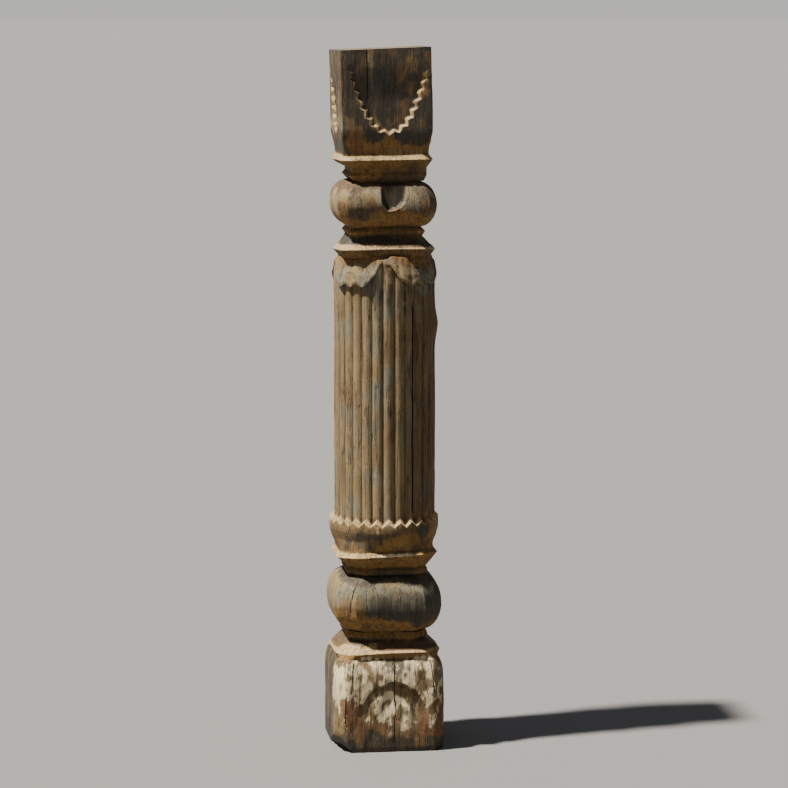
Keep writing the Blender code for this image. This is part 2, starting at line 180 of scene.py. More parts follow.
# The notch in the upper cushion: its outline across and up the front, from its upper left, its depth
# and wall, and the plain wood kept at the cushion's foot and top
NOTCH_OUTLINE = (
    (-0.0200, 1.346),
    (-0.0200, 1.292),
    (-0.0045, 1.2705),
    (0.0080, 1.2725),
    (0.0190, 1.276),
    (0.0300, 1.285),
    (0.0370, 1.297),
    (0.0407, 1.315),
    (0.0407, 1.346),
)
NOTCH_DEPTH = 0.016
NOTCH_WALL = 0.005
NOTCH_FOOT_GAP = 0.004
NOTCH_TOP_GAP = 0.001

# The swag on each face of the head
SWAG_TEETH = 17
SWAG_HALF_WIDTH = 0.094
SWAG_SHIFT = 0.006
SWAG_DROP = 0.158
SWAG_FOOT_Z = 1.4515
SWAG_FULLNESS = 0.42
SWAG_TOOTH_HEIGHT = 0.0085
SWAG_DEPTH = 0.008
SWAG_WALL_SLOPE = 1.6
SWAG_WALL_MARGIN = 0.0006
SWAG_FADE_Z = SWAG_FOOT_Z + 0.45 * SWAG_DROP
SWAG_END_Z = SWAG_FOOT_Z + SWAG_DROP + SWAG_TOOTH_HEIGHT
SWAG_SAMPLES = 600

# How the side is weathered: how high each kind of unevenness stands, and the size of its lumps along
# x, y and z. The swell moves points up and down, and the crumbling fades out above the foot.
WAVE_HEIGHT, WAVE_SIZE = 0.0012, (0.09, 0.09, 0.14)
GRAIN_HEIGHT, GRAIN_SIZE = 0.0005, (0.009, 0.009, 0.09)
CRUMBLE_HEIGHT, CRUMBLE_SIZE = 0.0022, (0.014, 0.014, 0.05)
CRUMBLE_END = (0.18, 0.24)
SWELL_HEIGHT, SWELL_SIZE = 0.0022, (0.09, 0.09, 0.3)
CHIP_SIZE = (0.030, 0.030, 0.022)
EDGE_WEAR, CHIP_WEAR = 0.55, 3.0
TEETH_KEPT = 0.95

# The heights over which the unevenness dies out at the foot and just below the top
STILL_FOOT = 0.012
STILL_TOP_START, STILL_TOP_END = 0.014, 0.009
STILL_TOP_SHARE = 0.8

# How far a split draws the wood beside it in, how far its ends taper, and the length of its bends
SPLIT_PULL = 0.6
SPLIT_TAPER = 0.03
SPLIT_BEND = 0.05

# The splits: degrees from the front, lowest and highest point, depth, wander in radians, the seed of
# the wander, slant in degrees, and how many columns of points it reaches to each side
SPLITS = (
    (26.5, 0.575, 1.085, 0.0120, 0.010, 51, 0, 2),
    (1.5, 0.035, 0.210, 0.0035, 0.012, 53, 0, 1),
    (-40, 0.328, 0.402, 0.0035, 0.010, 54, 4, 1),
    (-20.5, 1.535, 1.646, 0.0035, 0.004, 55, 0, 1),
    (-36, 0.145, 0.212, 0.0040, 0.012, 56, 0, 1),
    (35, 0.145, 0.210, 0.0030, 0.012, 57, 0, 1),
    (-41, 0.050, 0.130, 0.0040, 0.020, 63, 0, 1),
    (118, 0.600, 1.020, 0.0090, 0.012, 58, 0, 1),
    (-152, 0.620, 0.860, 0.0070, 0.014, 59, 0, 1),
    (176, 0.030, 0.210, 0.0050, 0.012, 60, 0, 1),
    (97, 1.470, 1.640, 0.0050, 0.006, 61, 0, 1),
    (-171, 1.260, 1.320, 0.0035, 0.010, 62, 0, 1),
)

# The gap kept to the outline of the blank
LIMIT_GAP = 0.0002

# Where each finish of the old wood lies, and where highlights and shade are painted into it: degrees from
# the front, heights, and strength
FINISHES = ("ochre_and_warm_shade", "bare", "grey", "rust", "pale", "soot_and_shade", "lit", "dent_shade")
SAWN_END = {"bare": 0.85, "grey": 0.50, "pale": 0.20, "soot_and_shade": 0.38}
ALL_ROUND = (-220, 220)
PATCH_TURN = 9.0
PATCH_RISE = 0.012
HEAD_PATCHES = (
    ("soot_and_shade", (-43, 225), (1.430, 1.700), 0.85),
    ("bare", (-137, -43), (1.436, 1.700), 0.50),
    ("grey", (-137, -43), (1.436, 1.700), 0.40),
    ("soot_and_shade", (-137, -43), (1.485, 1.700), 0.54),
    ("soot_and_shade", (-137, -46), (1.390, 1.452), 0.75),
    ("pale", (-137, -50), (1.450, 1.500), 0.30),
    ("ochre_and_warm_shade", ALL_ROUND, (1.400, 1.445), 0.75),
    ("rust", (-44, -31), (1.400, 1.462), 0.62),
    ("soot_and_shade", (-43, -31), (1.400, 1.470), -0.60),
    ("bare", (-12, 45), (1.398, 1.418), 0.45),
    ("ochre_and_warm_shade", (10, 42), (1.545, 1.640), 0.60),
    ("soot_and_shade", (10, 42), (1.545, 1.640), -0.35),
    ("rust", (8, 24), (1.466, 1.528), 0.50),
    ("soot_and_shade", (8, 24), (1.466, 1.528), -0.30),
    ("bare", (-24, -9), (1.458, 1.486), 0.75),
    ("soot_and_shade", (-24, -9), (1.458, 1.486), -0.55),
    ("bare", (-30, -20), (1.610, 1.700), 0.80),
    ("soot_and_shade", (-29, -20), (1.612, 1.700), -0.75),
    ("bare", (-24, -20), (1.530, 1.620), 0.70),
    ("soot_and_shade", (-24, -20), (1.530, 1.620), -0.45),
)
UPPER_PATCHES = (
    # The flange's underside: ochre with warm painted shade, and painted shade on its right part
    ("ochre_and_warm_shade", ALL_ROUND, (1.352, 1.391), 0.80),
    ("soot_and_shade", (12, 130), (1.352, 1.391), 0.45),
    # Painted shadow over the cushion's top, below the flange, and a painted highlight on its left side
    ("soot_and_shade", ALL_ROUND, (1.316, 1.354), 0.45),
    ("lit", (-137, -60), (1.255, 1.322), 0.45),
    ("bare", (-200, -5), (1.279, 1.322), 0.85),
    ("bare", (8, 36), (1.270, 1.322), 0.70),
    ("grey", (-25, 40), (1.265, 1.322), 0.35),
    ("bare", (100, 180), (1.270, 1.322), 0.70),
    ("soot_and_shade", (-46, -14), (1.254, 1.280), 0.60),
    # Warm painted shade on the cushion's lower part, which faces down, and painted shade on its right part
    ("ochre_and_warm_shade", ALL_ROUND, (1.233, 1.268), 0.75),
    ("soot_and_shade", (36, 130), (1.250, 1.330), 0.45),
    ("ochre_and_warm_shade", ALL_ROUND, (1.219, 1.229), 0.60),
    # Painted shade on the flare above the ledge, darkest on its left, and where it narrows the ledge's
    # highlight
    ("soot_and_shade", ALL_ROUND, (1.186, 1.219), 0.50),
    ("soot_and_shade", (-137, -10), (1.194, 1.214), 1.20),
    ("soot_and_shade", (-12, 60), (1.184, 1.200), 0.70),
    # The flange's underside, in warm painted shade, and a painted shadow on the band just below it
    ("ochre_and_warm_shade", ALL_ROUND, (1.150, 1.177), 0.55),
    ("soot_and_shade", ALL_ROUND, (1.146, 1.166), 0.30),
)
COLLAR_PATCHES = (
    ("bare", (-180, -12), (1.090, 1.150), 0.80),
    ("bare", (-6, 62), (1.090, 1.150), 0.75),
    ("bare", (100, 180), (1.090, 1.150), 0.70),
    # Painted highlight on the leaves' left side
    ("lit", (-130, -62), (1.100, 1.146), 0.35),
    ("grey", (-70, -52), (1.090, 1.125), 0.60),
    ("grey", (-38, -22), (1.090, 1.125), 0.50),
    # Painted shade in the gap between the leaves, in the right leaf's hollow and on the right side
    ("soot_and_shade", (-16, 4), (1.120, 1.160), 0.25),
    ("soot_and_shade", (12, 32), (1.110, 1.127), 0.35),
    ("soot_and_shade", (60, 110), (1.090, 1.150), 0.45),
)
SHAFT_PATCHES = (
    ("ochre_and_warm_shade", ALL_ROUND, (0.540, 1.110), 0.25),
    ("bare", (-230, 27), (0.540, 1.100), 0.72),
    ("bare", (27, 112), (0.540, 1.100), 0.25),
    ("grey", (-230, -30), (0.540, 1.100), -0.25),
    ("grey", (27, 112), (0.540, 1.100), 0.40),
    # Painted highlight on the left reeds, painted shade on the right side and painted shadow under the
    # leaves
    ("lit", (-125, -30), (0.540, 1.020), 0.10),
    ("soot_and_shade", (27, 112), (0.540, 1.110), 0.30),
    ("soot_and_shade", (-80, 27), (1.045, 1.100), 0.25),
    ("soot_and_shade", (-27, -19), (0.940, 0.990), 0.40),
    ("soot_and_shade", (-18, -8), (0.950, 1.090), 0.40),
    ("soot_and_shade", (-3, 3), (0.600, 1.090), 0.35),
    ("soot_and_shade", (8, 14), (0.900, 1.080), 0.30),
)
CUP_PATCHES = (
    ("ochre_and_warm_shade", ALL_ROUND, (0.500, 0.545), 0.50),
    ("bare", (-200, -22), (0.512, 0.540), 0.40),
    ("soot_and_shade", (-90, 62), (0.508, 0.536), 0.42),
    ("pale", (-17, -13), (0.512, 0.545), 0.50),
    ("pale", (4, 8), (0.512, 0.545), 0.50),
    # Warm painted shade on the cup's lower part, which faces down
    ("ochre_and_warm_shade", ALL_ROUND, (0.474, 0.510), 0.80),
    ("soot_and_shade", (-137, -14), (0.474, 0.514), 0.60),
    ("soot_and_shade", (28, 46), (0.474, 0.536), 0.50),
    ("ochre_and_warm_shade", (44, 110), (0.474, 0.530), 0.60),
    # Warm painted shade on the flange's underside
    ("ochre_and_warm_shade", ALL_ROUND, (0.430, 0.463), 0.90),
    ("soot_and_shade", ALL_ROUND, (0.400, 0.430), 0.40),
    ("ochre_and_warm_shade", ALL_ROUND, (0.416, 0.422), 0.60),
)
LOWER_PATCHES = (
    ("bare", (-200, 62), (0.326, 0.402), 0.80),
    ("bare", (120, 180), (0.326, 0.402), 0.80),
    # Painted highlight on the cushion's left side
    ("lit", (-137, -66), (0.322, 0.396), 0.28),
    ("soot_and_shade", (-34, 62), (0.325, 0.402), 0.20),
    ("grey", (-30, 62), (0.320, 0.402), 0.50),
    ("grey", (-62, -35), (0.330, 0.402), 0.30),
    ("soot_and_shade", (-20, 62), (0.300, 0.376), 0.44),
    # Warm painted shade on the cushion's lower part, which faces down
    ("ochre_and_warm_shade", ALL_ROUND, (0.279, 0.322), 0.80),
    ("soot_and_shade", (-30, 40), (0.296, 0.335), 0.35),
    # Painted shade on the right side, and a painted shadow over the cushion's top, below the bead
    ("soot_and_shade", (50, 130), (0.330, 0.405), 0.40),
    ("soot_and_shade", ALL_ROUND, (0.392, 0.414), 0.40),
    ("ochre_and_warm_shade", ALL_ROUND, (0.262, 0.279), 0.60),
    # Painted shadow on the flare below the cushion; its left part gets a painted highlight instead
    ("soot_and_shade", ALL_ROUND, (0.2375, 0.266), 0.50),
    ("lit", (-70, -16), (0.2325, 0.250), 0.70),
    ("soot_and_shade", (-70, -16), (0.2325, 0.250), -0.85),
    # The lip's underside: warm painted shade and a band of painted shadow
    ("ochre_and_warm_shade", ALL_ROUND, (0.219, 0.231), 0.75),
    ("soot_and_shade", ALL_ROUND, (0.218, 0.229), 0.30),
)
FOOT_PATCHES = (
    ("bare", ALL_ROUND, (0.040, 0.219), 0.75),
    ("grey", (-20, 35), (0.175, 0.219), 0.50),
    ("pale", (-62, 46), (0.112, 0.217), 0.62),
    ("pale", (-62, -38), (0.080, 0.217), 0.30),
    ("pale", (90, 225), (0.110, 0.217), 0.40),
    ("pale", (-50, -34), (0.020, 0.080), 0.55),
    ("rust", (-42, -26), (0.065, 0.135), 1.10),
    ("pale", (-42, -26), (0.065, 0.130), -0.50),
    ("rust", ALL_ROUND, (0.030, 0.080), 0.42),
    ("pale", ALL_ROUND, (-0.030, 0.060), -0.50),
    ("soot_and_shade", ALL_ROUND, (-0.030, 0.040), 0.70),
    ("ochre_and_warm_shade", ALL_ROUND, (0.010, 0.030), 0.60),
    ("rust", (38, 62), (-0.030, 0.150), 0.60),
    ("soot_and_shade", (-137, -58), (-0.030, 0.230), 0.62),
)
PATCHES = HEAD_PATCHES + UPPER_PATCHES + COLLAR_PATCHES + SHAFT_PATCHES + CUP_PATCHES + LOWER_PATCHES
PATCHES += FOOT_PATCHES

# The painted highlight on the ledges, where the light falls: how far below each edge it starts, how soft
# its borders are, how much narrower it gets across an arc, where painted shade covers it, and the arcs
# where the cup's ledge gets no highlight and where it lies in shade and is painted pale, in degrees
LEDGE_MARGIN = 0.001
LEDGE_SOFT = 0.002
LEDGE_NARROWING = 0.008
NARROWING_ARC = (-22, -8)
CUP_DULL_ARC = (32, 60)
CUP_SHADE_ARC = (-12, 24)

# The trunk's bend and the slope of its sawn top
HEAD_LEAN = 0.0093
NECK_SHIFT = 0.0085
SAW_SLOPE = 0.0086

# The hand-cut lips tilt: each one's heights, and how far it rises to the right, to the front and all round
TILT_REACH = 0.12
TILT_SOFT = 0.012
LIP_TILTS = (
    (0.222, 0.245, 0.003, 0.004, -0.002),
    (0.450, 0.480, 0.005, 0.0045, -0.0045),
    (1.168, 1.198, 0.000, 0.006, 0.000),
    (1.374, 1.400, 0.000, 0.0035, -0.003),
)

# The foot's worn corner and the rotted hollow in its front
WORN_ALONG_LEFT = 0.190
WORN_ALONG_FRONT = 0.050
WORN_HEIGHT = 0.060
WORN_REACH = 0.004
HOLLOW_MIDDLE = 0.004
HOLLOW_TOP_Z = 0.166
HOLLOW_FOOT_Z = 0.040
HOLLOW_HALF_WIDTH = 0.088
HOLLOW_DEPTH = 0.0065
HOLLOW_DROP = 0.085
HOLLOW_WALL = 0.006
HOLLOW_SAMPLES = 41
HOLLOW_SQUARENESS = 3
HOLLOW_WANDER = 0.004
HOLLOW_LUMPS = 0.022
HOLLOW_ROOM = 0.05
HOLLOW_BAND_WANDER = 0.010
HOLLOW_BAND_LUMPS = 0.020
HOLLOW_BAND_REACH = (0.012, 0.045)

# The camera, which stands where the photograph was taken from
CAMERA_DISTANCE = 7.143
CAMERA_HEIGHT = 1.722
CAMERA_AZIMUTH = math.radians(-7.3)
CAMERA_SWING = math.radians(-0.197)
CAMERA_PITCH = math.radians(7.09)
CAMERA_LENS = 139.2
CAMERA_SENSOR = 36.0

# The floor, the studio around it, low down and high up, and the key light
FLOOR_SIZE = 3000.0
FLOOR_GREY = 0.125
FLOOR_ROUGHNESS = 0.9
STUDIO_LOW = (0.60, 0.59, 0.57, 1)
STUDIO_HIGH = (0.23, 0.235, 0.25, 1)
STUDIO_RISE = 0.12
KEY_COLOUR = (1.0, 0.94, 0.84)
KEY_ENERGY = 15.5
KEY_SOFTNESS = math.radians(3)
KEY_ELEVATION = math.radians(63)
KEY_AZIMUTH = math.radians(-77)

SIDE = np.repeat(np.arange(4), COLUMNS_PER_SIDE)
STEP = np.tile(np.arange(COLUMNS_PER_SIDE) - HALF_SIDE, 4)
SIDE_TURN = SIDE * math.pi / 2
ROUND_ANGLE = SIDE_TURN + STEP * math.pi / 2 / COLUMNS_PER_SIDE + REED_TURN
REED_PHASE = STEP % (COLUMNS // REEDS) / (COLUMNS // REEDS)
GROOVE = 2 * np.minimum(REED_PHASE, 1 - REED_PHASE)


def mix(start, end, share):
    return start + (end - start) * share


def smooth(value, low, high):
    """0 below low, 1 above high, and an even curve between them."""
    share = np.clip((value - low) / (high - low), 0.0, 1.0)
    return share * share * (3 - 2 * share)


def between(value, low, high, soft):
    """1 between two values and 0 outside, with soft ends."""
    return smooth(value, low - soft, low + soft) * (1 - smooth(value, high - soft, high + soft))


def lattice(ix, iy, iz, seed):
    """A repeatable random number from -1 to 1 for each whole-number cell."""
    n = ix * 374761393 + iy * 668265263 + iz * 1442695041 + seed * 974634777
    n = (n ^ (n >> 13)) * 1274126177
    n = n ^ (n >> 16)
    return (n & 0xFFFFFF) / 0x7FFFFF - 1.0


def noise(points, size, seed):
    """Smooth noise from -1 to 1, whose lumps have the given size along x, y and z."""
    scaled = points / np.broadcast_to(size, 3)
    cell = np.floor(scaled).astype(np.int64)
    part = scaled - cell
    part = part * part * (3 - 2 * part)
    total = 0.0
    for corner in range(8):
        step = np.array([corner & 1, corner >> 1 & 1, corner >> 2 & 1])
        weight = np.prod(np.where(step, part, 1 - part), axis=-1)
        total = total + weight * lattice(*np.moveaxis(cell + step, -1, 0), seed)
    return total


def rough(points, size, seed, layers=3):
    """Noise with finer noise on it, each layer half as large and half as strong."""
    size = np.broadcast_to(size, 3)
    return sum(noise(points, size / 2**i, seed + i) / 2**i for i in range(layers))


def lean(height):
    """How far the trunk has bent sideways at a height: nothing up to the collar."""
    return -HEAD_LEAN * np.clip(height - COLLAR_LIP_Z, 0, None) / (TOP_Z - COLLAR_LIP_Z)


def squared(height, half, corner, flat, shift=0.0):
    """One level of a squared stage."""
    reach = half * (1 - corner)
    past = np.clip((np.abs(STEP) - flat) / (HALF_SIDE - flat), 0, 1) * (half - reach) / 2
    x = np.clip(STEP / flat, -1, 1) * reach + np.sign(STEP) * past
    y = past - half
    turned_x = x * np.cos(SIDE_TURN) - y * np.sin(SIDE_TURN)
    turned_y = x * np.sin(SIDE_TURN) + y * np.cos(SIDE_TURN)
    return np.stack([turned_x + shift + lean(height), turned_y, np.full(COLUMNS, height)], axis=-1)


def turned(height, radius, shift=0.0):
    """One level of a round stage. The height and the radius may differ from column to column."""
    x = radius * np.sin(ROUND_ANGLE) + shift
    y = -radius * np.cos(ROUND_ANGLE)
    return np.stack([x, y, np.broadcast_to(height, COLUMNS)], axis=-1)


def bands(start, end, count):
    """Levels from start up to just below end, evenly spaced."""
    return [mix(start, end, i / count) for i in range(count)]


def cushion(bottom, top, end_half, full_half, corner, flat, count):
    """A cushion moulding, whose side is half an ellipse. The end levels belong to its neighbours."""
    levels = []
    for i in range(1, count):
        angle = math.pi * (i / count - 0.5)
        half = mix(end_half, full_half, math.cos(angle))
        levels.append(squared(mix(bottom, top, 0.5 + 0.5 * math.sin(angle)), half, corner, flat))
    return levels


def foot_levels():
    """The square foot, whose shoulder rounds in to the lip above it."""
    low = squared(0.0, FOOT_HALF - FOOT_EASE, FOOT_CORNER, FOOT_FLAT)
    eased = squared(FOOT_EASE_Z, FOOT_HALF, FOOT_CORNER, FOOT_FLAT)
    shoulder = squared(SHOULDER_Z, FOOT_HALF, FOOT_CORNER, FOOT_FLAT)
    levels = bands(low, eased, 3) + bands(eased, shoulder, 38)
    for i in range(SHOULDER_ROWS):
        angle = math.pi / 2 * i / SHOULDER_ROWS
        half = mix(FOOT_TOP_HALF, FOOT_HALF, math.cos(angle))
        height = mix(SHOULDER_Z, FOOT_LIP_Z, math.sin(angle))
        levels.append(squared(height, half, FOOT_CORNER, FOOT_FLAT))
    return levels


def lower_levels():
    """The lower mouldings, from the foot's lip to the ledge that the cup stands on."""
    lower = (LOWER_CORNER, LOWER_FLAT)
    under = squared(FOOT_LIP_Z, FOOT_TOP_HALF, FOOT_CORNER, FOOT_FLAT)
    edge = squared(FOOT_EDGE_Z, FOOT_LIP_HALF, *lower)
    neck = squared(LOWER_BEAD_Z, FOOT_NECK_HALF, *lower)
    bead = squared((LOWER_BEAD_Z + LOWER_CUSHION_Z) / 2, LOWER_BEAD_HALF, *lower)
    groove = squared(LOWER_CUSHION_Z, LOWER_GROOVE_HALF, *lower)
    levels = bands(under, edge, 5) + bands(edge, neck, 9) + bands(neck, bead, 4)
    levels += bands(bead, groove, 4) + [groove]
    halves = (LOWER_CUSHION_END_HALF, LOWER_CUSHION_HALF)
    levels += cushion(LOWER_CUSHION_Z, MIDDLE_BEAD_Z, *halves, *lower, 40)
    groove = squared(MIDDLE_BEAD_Z, LOWER_GROOVE_HALF, *lower)
    bead = squared(mix(MIDDLE_BEAD_Z, CUP_FLANGE_Z, BEAD_PLACE), MIDDLE_BEAD_HALF, *lower)
    neck = squared(CUP_FLANGE_Z, CUP_NECK_HALF, *lower)
    edge = squared(CUP_EDGE_Z, CUP_FLANGE_HALF, *lower)
    ledge = squared(CUP_Z, CUP_FOOT_HALF, *lower)
    levels += bands(groove, bead, 4) + bands(bead, neck, 3) + bands(neck, edge, 11) + bands(edge, ledge, 4)
    return levels


def reeded_radius(height):
    """The shaft's surface at a height, swollen on the right by the knot."""
    around = ((ROUND_ANGLE - math.pi / 2 + math.pi) % (2 * math.pi) - math.pi) / KNOT_ANGLE
    knot = KNOT_RISE * np.exp(-(((height - KNOT_Z) / KNOT_SPREAD) ** 2) - around**2)
    return SHAFT_RADIUS + knot - GROOVE_DEPTH * GROOVE**REED_ROUNDNESS


def cup_levels():
    """The cup, from its eight-sided foot to the round rim whose teeth stand before the reeds."""
    foot = squared(CUP_Z, CUP_FOOT_HALF, LOWER_CORNER, LOWER_FLAT)
    belly = turned(CUP_Z + CUP_BELLY_HEIGHT, CUP_BELLY_RADIUS)
    shoulder = turned(CUP_Z + CUP_SHOULDER_HEIGHT, CUP_RIM_RADIUS)
    tooth = TOOTH_HEIGHT * (0.5 - GROOVE)
    rim = turned(RIM_Z + tooth, CUP_RIM_RADIUS)
    inner = turned(SHAFT_Z + tooth, reeded_radius(SHAFT_Z), SHAFT_SHIFT)
    levels = bands(foot, belly, 7) + bands(belly, shoulder, 6)
    return levels + bands(shoulder, rim, 6) + bands(rim, inner, 3)


def leaf_edge():
    """How much leaf covers each column, and how high the leaf's lower edge is there."""
    cover = np.zeros(COLUMNS)
    rise = np.full(COLUMNS, LEAF_RISE)
    for tip, half_span in LEAVES:
        off = np.abs((ROUND_ANGLE - tip + math.pi) % (2 * math.pi) - math.pi)
        inside = off < half_span
        lobe = LOBE_HEIGHT * np.sin(math.pi * off / LOBE_SPACING) ** 2
        past = np.clip(off - 1.5 * LOBE_SPACING, 0, None) / (half_span - 1.5 * LOBE_SPACING)
        cover = np.where(inside, smooth((half_span - off) / LEAF_SIDE, 0, 1), cover)
        rise = np.where(inside, np.minimum(LEAF_RISE, lobe + LEAF_RISE * past), rise)
    return cover, rise


def leaf_radius(above):
    """The leaves' own profile, by height above the lowest leaf tip."""
    heights = (0, COLLAR_BELLY_HEIGHT, COLLAR_SHOULDER_HEIGHT, COLLAR_HEIGHT)
    radii = (COLLAR_RADIUS, COLLAR_BELLY_RADIUS, COLLAR_SHOULDER_RADIUS, COLLAR_TOP_RADIUS)
    return np.interp(above, heights, radii)


def leaf_relief(above_edge):
    """The leaves' raised rim, by height above their lower edge, and the vein down each lobe."""
    rim = LEAF_RIM_RISE * np.exp(-(((above_edge - LEAF_RIM_PLACE) / LEAF_RIM_PLACE) ** 2))
    veins = np.zeros(COLUMNS)
    for tip, half_span in LEAVES:
        off = np.abs((ROUND_ANGLE - tip + math.pi) % (2 * math.pi) - math.pi)
        vein = np.cos(math.pi * off / LOBE_SPACING) ** LEAF_VEIN_SHARPNESS
        veins += (off < half_span) * LEAF_VEIN_DEPTH * vein
    return rim - veins * smooth(above_edge, 0, LEAF_RIM_PLACE)


def shaft_levels():
    """The reeded shaft, from the cup's teeth up to the edges of the leaves."""
    cover, rise = leaf_edge()
    low = SHAFT_Z + TOOTH_HEIGHT * (0.5 - GROOVE)
    high = COLLAR_Z + rise + mix(-LEAF_MERGE, LEAF_UNDERCUT, cover)
    levels = []
    for height in bands(low, high, 68):
        levels.append(turned(height, reeded_radius(height), SHAFT_SHIFT))
    return levels


def collar_levels():
    """The leaves, from the undercut below their edges to the flange above."""
    cover, rise = leaf_edge()
    under_z = COLLAR_Z + rise + mix(-LEAF_MERGE, LEAF_UNDERCUT, cover)
    shaft = turned(under_z, np.minimum(reeded_radius(under_z), leaf_radius(rise)), SHAFT_SHIFT)
    levels = []
    for i in range(LEAF_ROWS):
        above = mix(rise, COLLAR_HEIGHT, i / LEAF_ROWS)
        leaf = leaf_radius(above) + leaf_relief(above - rise)
        reeds = reeded_radius(COLLAR_Z + above)
        root = np.minimum(reeds, leaf_radius(above) - LEAF_THICKNESS)
        bare = mix(reeds, root, smooth(above, LEAF_RISE, COLLAR_HEIGHT))
        levels.append(turned(COLLAR_Z + above, mix(bare, leaf, cover), SHAFT_SHIFT))
    return bands(shaft, levels[0], 3) + levels


def upper_levels():
    """The upper mouldings, from the flange over the leaves to the ledge below the head."""
    upper = (UPPER_CORNER, UPPER_FLAT)
    worn = (COLLAR_LIP_CORNER, COLLAR_LIP_FLAT)
    under = squared(COLLAR_LIP_Z, COLLAR_UNDER_HALF, *worn)
    edge = squared(COLLAR_EDGE_Z, COLLAR_LIP_HALF, *worn)
    ledge = squared(COLLAR_FLARE_Z, COLLAR_LEDGE_HALF, *worn)
    neck = squared(UPPER_BEAD_Z, COLLAR_NECK_HALF, *upper)
    bead = squared((UPPER_BEAD_Z + UPPER_CUSHION_Z) / 2, UPPER_BEAD_HALF, *upper)
    groove = squared(UPPER_CUSHION_Z, UPPER_GROOVE_HALF, *upper)
    levels = bands(under, edge, 5) + bands(edge, ledge, 5) + bands(ledge, neck, 7)
    levels += bands(neck, bead, 4) + bands(bead, groove, 4) + [groove]
    halves = (UPPER_CUSHION_END_HALF, UPPER_CUSHION_HALF)
    levels += cushion(UPPER_CUSHION_Z, NECK_BEAD_Z, *halves, *upper, 36)
    groove = squared(NECK_BEAD_Z, UPPER_GROOVE_HALF, *upper, NECK_SHIFT)
    bead = squared(mix(NECK_BEAD_Z, HEAD_FLANGE_Z, BEAD_PLACE), NECK_BEAD_HALF, *upper, NECK_SHIFT / 2)
    neck = squared(HEAD_FLANGE_Z, NECK_HALF, *upper, NECK_SHIFT)
    cove = squared(mix(HEAD_FLANGE_Z, HEAD_EDGE_Z, COVE_PLACE), NECK_HALF, *upper, NECK_SHIFT)
    edge = squared(HEAD_EDGE_Z, HEAD_FLANGE_HALF, *upper)
    ledge = squared(HEAD_Z, HEAD_FOOT_HALF, *upper)
    levels += bands(groove, bead, 4) + bands(bead, neck, 3) + bands(neck, cove, 3)
    levels += bands(cove, edge, 8) + bands(edge, ledge, 4)
    return levels


def head_levels():
    """The head, whose foot sweeps out and whose sawn top slopes down to the left."""
    levels = [squared(HEAD_Z, HEAD_FOOT_HALF, UPPER_CORNER, UPPER_FLAT)]
    rows = (0, SWAG_ROWS_START * HEAD_ROWS, SWAG_ROWS_END * HEAD_ROWS, HEAD_ROWS)
    stops = (HEAD_Z, SWAG_FOOT_Z - SWAG_TOOTH_HEIGHT, SWAG_END_Z, TOP_Z)
    for height in np.interp(np.arange(1, HEAD_ROWS + 1), rows, stops):
        share = (height - HEAD_Z) / (TOP_Z - HEAD_Z)
        half = mix(HEAD_FOOT_HALF, HEAD_HALF, smooth(height - HEAD_Z, 0, HEAD_SWEEP_HEIGHT))
        blunt = squared(height, half, UPPER_CORNER, UPPER_FLAT)
        sharp = squared(height, half, HEAD_CORNER, HEAD_FLAT)
        level = mix(blunt, sharp, smooth(height - HEAD_Z, 0, 0.5 * HEAD_SWEEP_HEIGHT))
        right = level[:, 0].max()
        level[:, 2] -= SAW_SLOPE * share**4 * (right - level[:, 0]) / (2 * HEAD_HALF)
        levels.append(level)
    return levels


def swag_edge():
    """Points along the toothed lower edge of a swag, from its upper left end to its upper right."""
    across = np.linspace(-1, 1, SWAG_SAMPLES + 1)
    drop = SWAG_DROP * np.abs(across) ** (1 / SWAG_FULLNESS)
    line = np.stack([SWAG_HALF_WIDTH * across, SWAG_FOOT_Z + drop], axis=-1)
    steps = np.diff(line, axis=0)
    run = np.concatenate([[0], np.cumsum(np.hypot(*steps.T))])
    places = np.linspace(0, run[-1], 2 * SWAG_TEETH + 1)
    points = np.stack([np.interp(places, run, line[:, k]) for k in (0, 1)], axis=-1)
    along = steps[np.clip(np.searchsorted(run, places) - 1, 0, SWAG_SAMPLES - 1)]
    along /= np.linalg.norm(along, axis=1, keepdims=True)
    outward = np.stack([along[:, 1], -along[:, 0]], axis=-1)
    tooth = SWAG_TOOTH_HEIGHT * np.where(np.arange(2 * SWAG_TEETH + 1) % 2, 0.5, -0.5)
    points += outward * tooth[:, None]
    left, right = points[0], points[-1]
    above = TOP_Z + SWAG_DROP
    return np.concatenate([[[left[0], above]], points, [[right[0], above]]])


def nearest_on_line(points, line):
    """The nearest point of an open line to each point, and how far inside the line each one is."""
    starts, spans = line[:-1], np.diff(line, axis=0)
    offset = points[:, None, :] - starts[None]
    share = np.clip((offset * spans).sum(-1) / (spans**2).sum(-1), 0, 1)
    near = starts + share[..., None] * spans
    gap = points[:, None, :] - near
    away = np.hypot(gap[..., 0], gap[..., 1])
    best = away.argmin(axis=1)
    rows = np.arange(len(points))
    inside = spans[best, 0] * offset[rows, best, 1] - spans[best, 1] * offset[rows, best, 0] > 0
    return near[rows, best], np.where(inside, 1, -1) * away[rows, best]


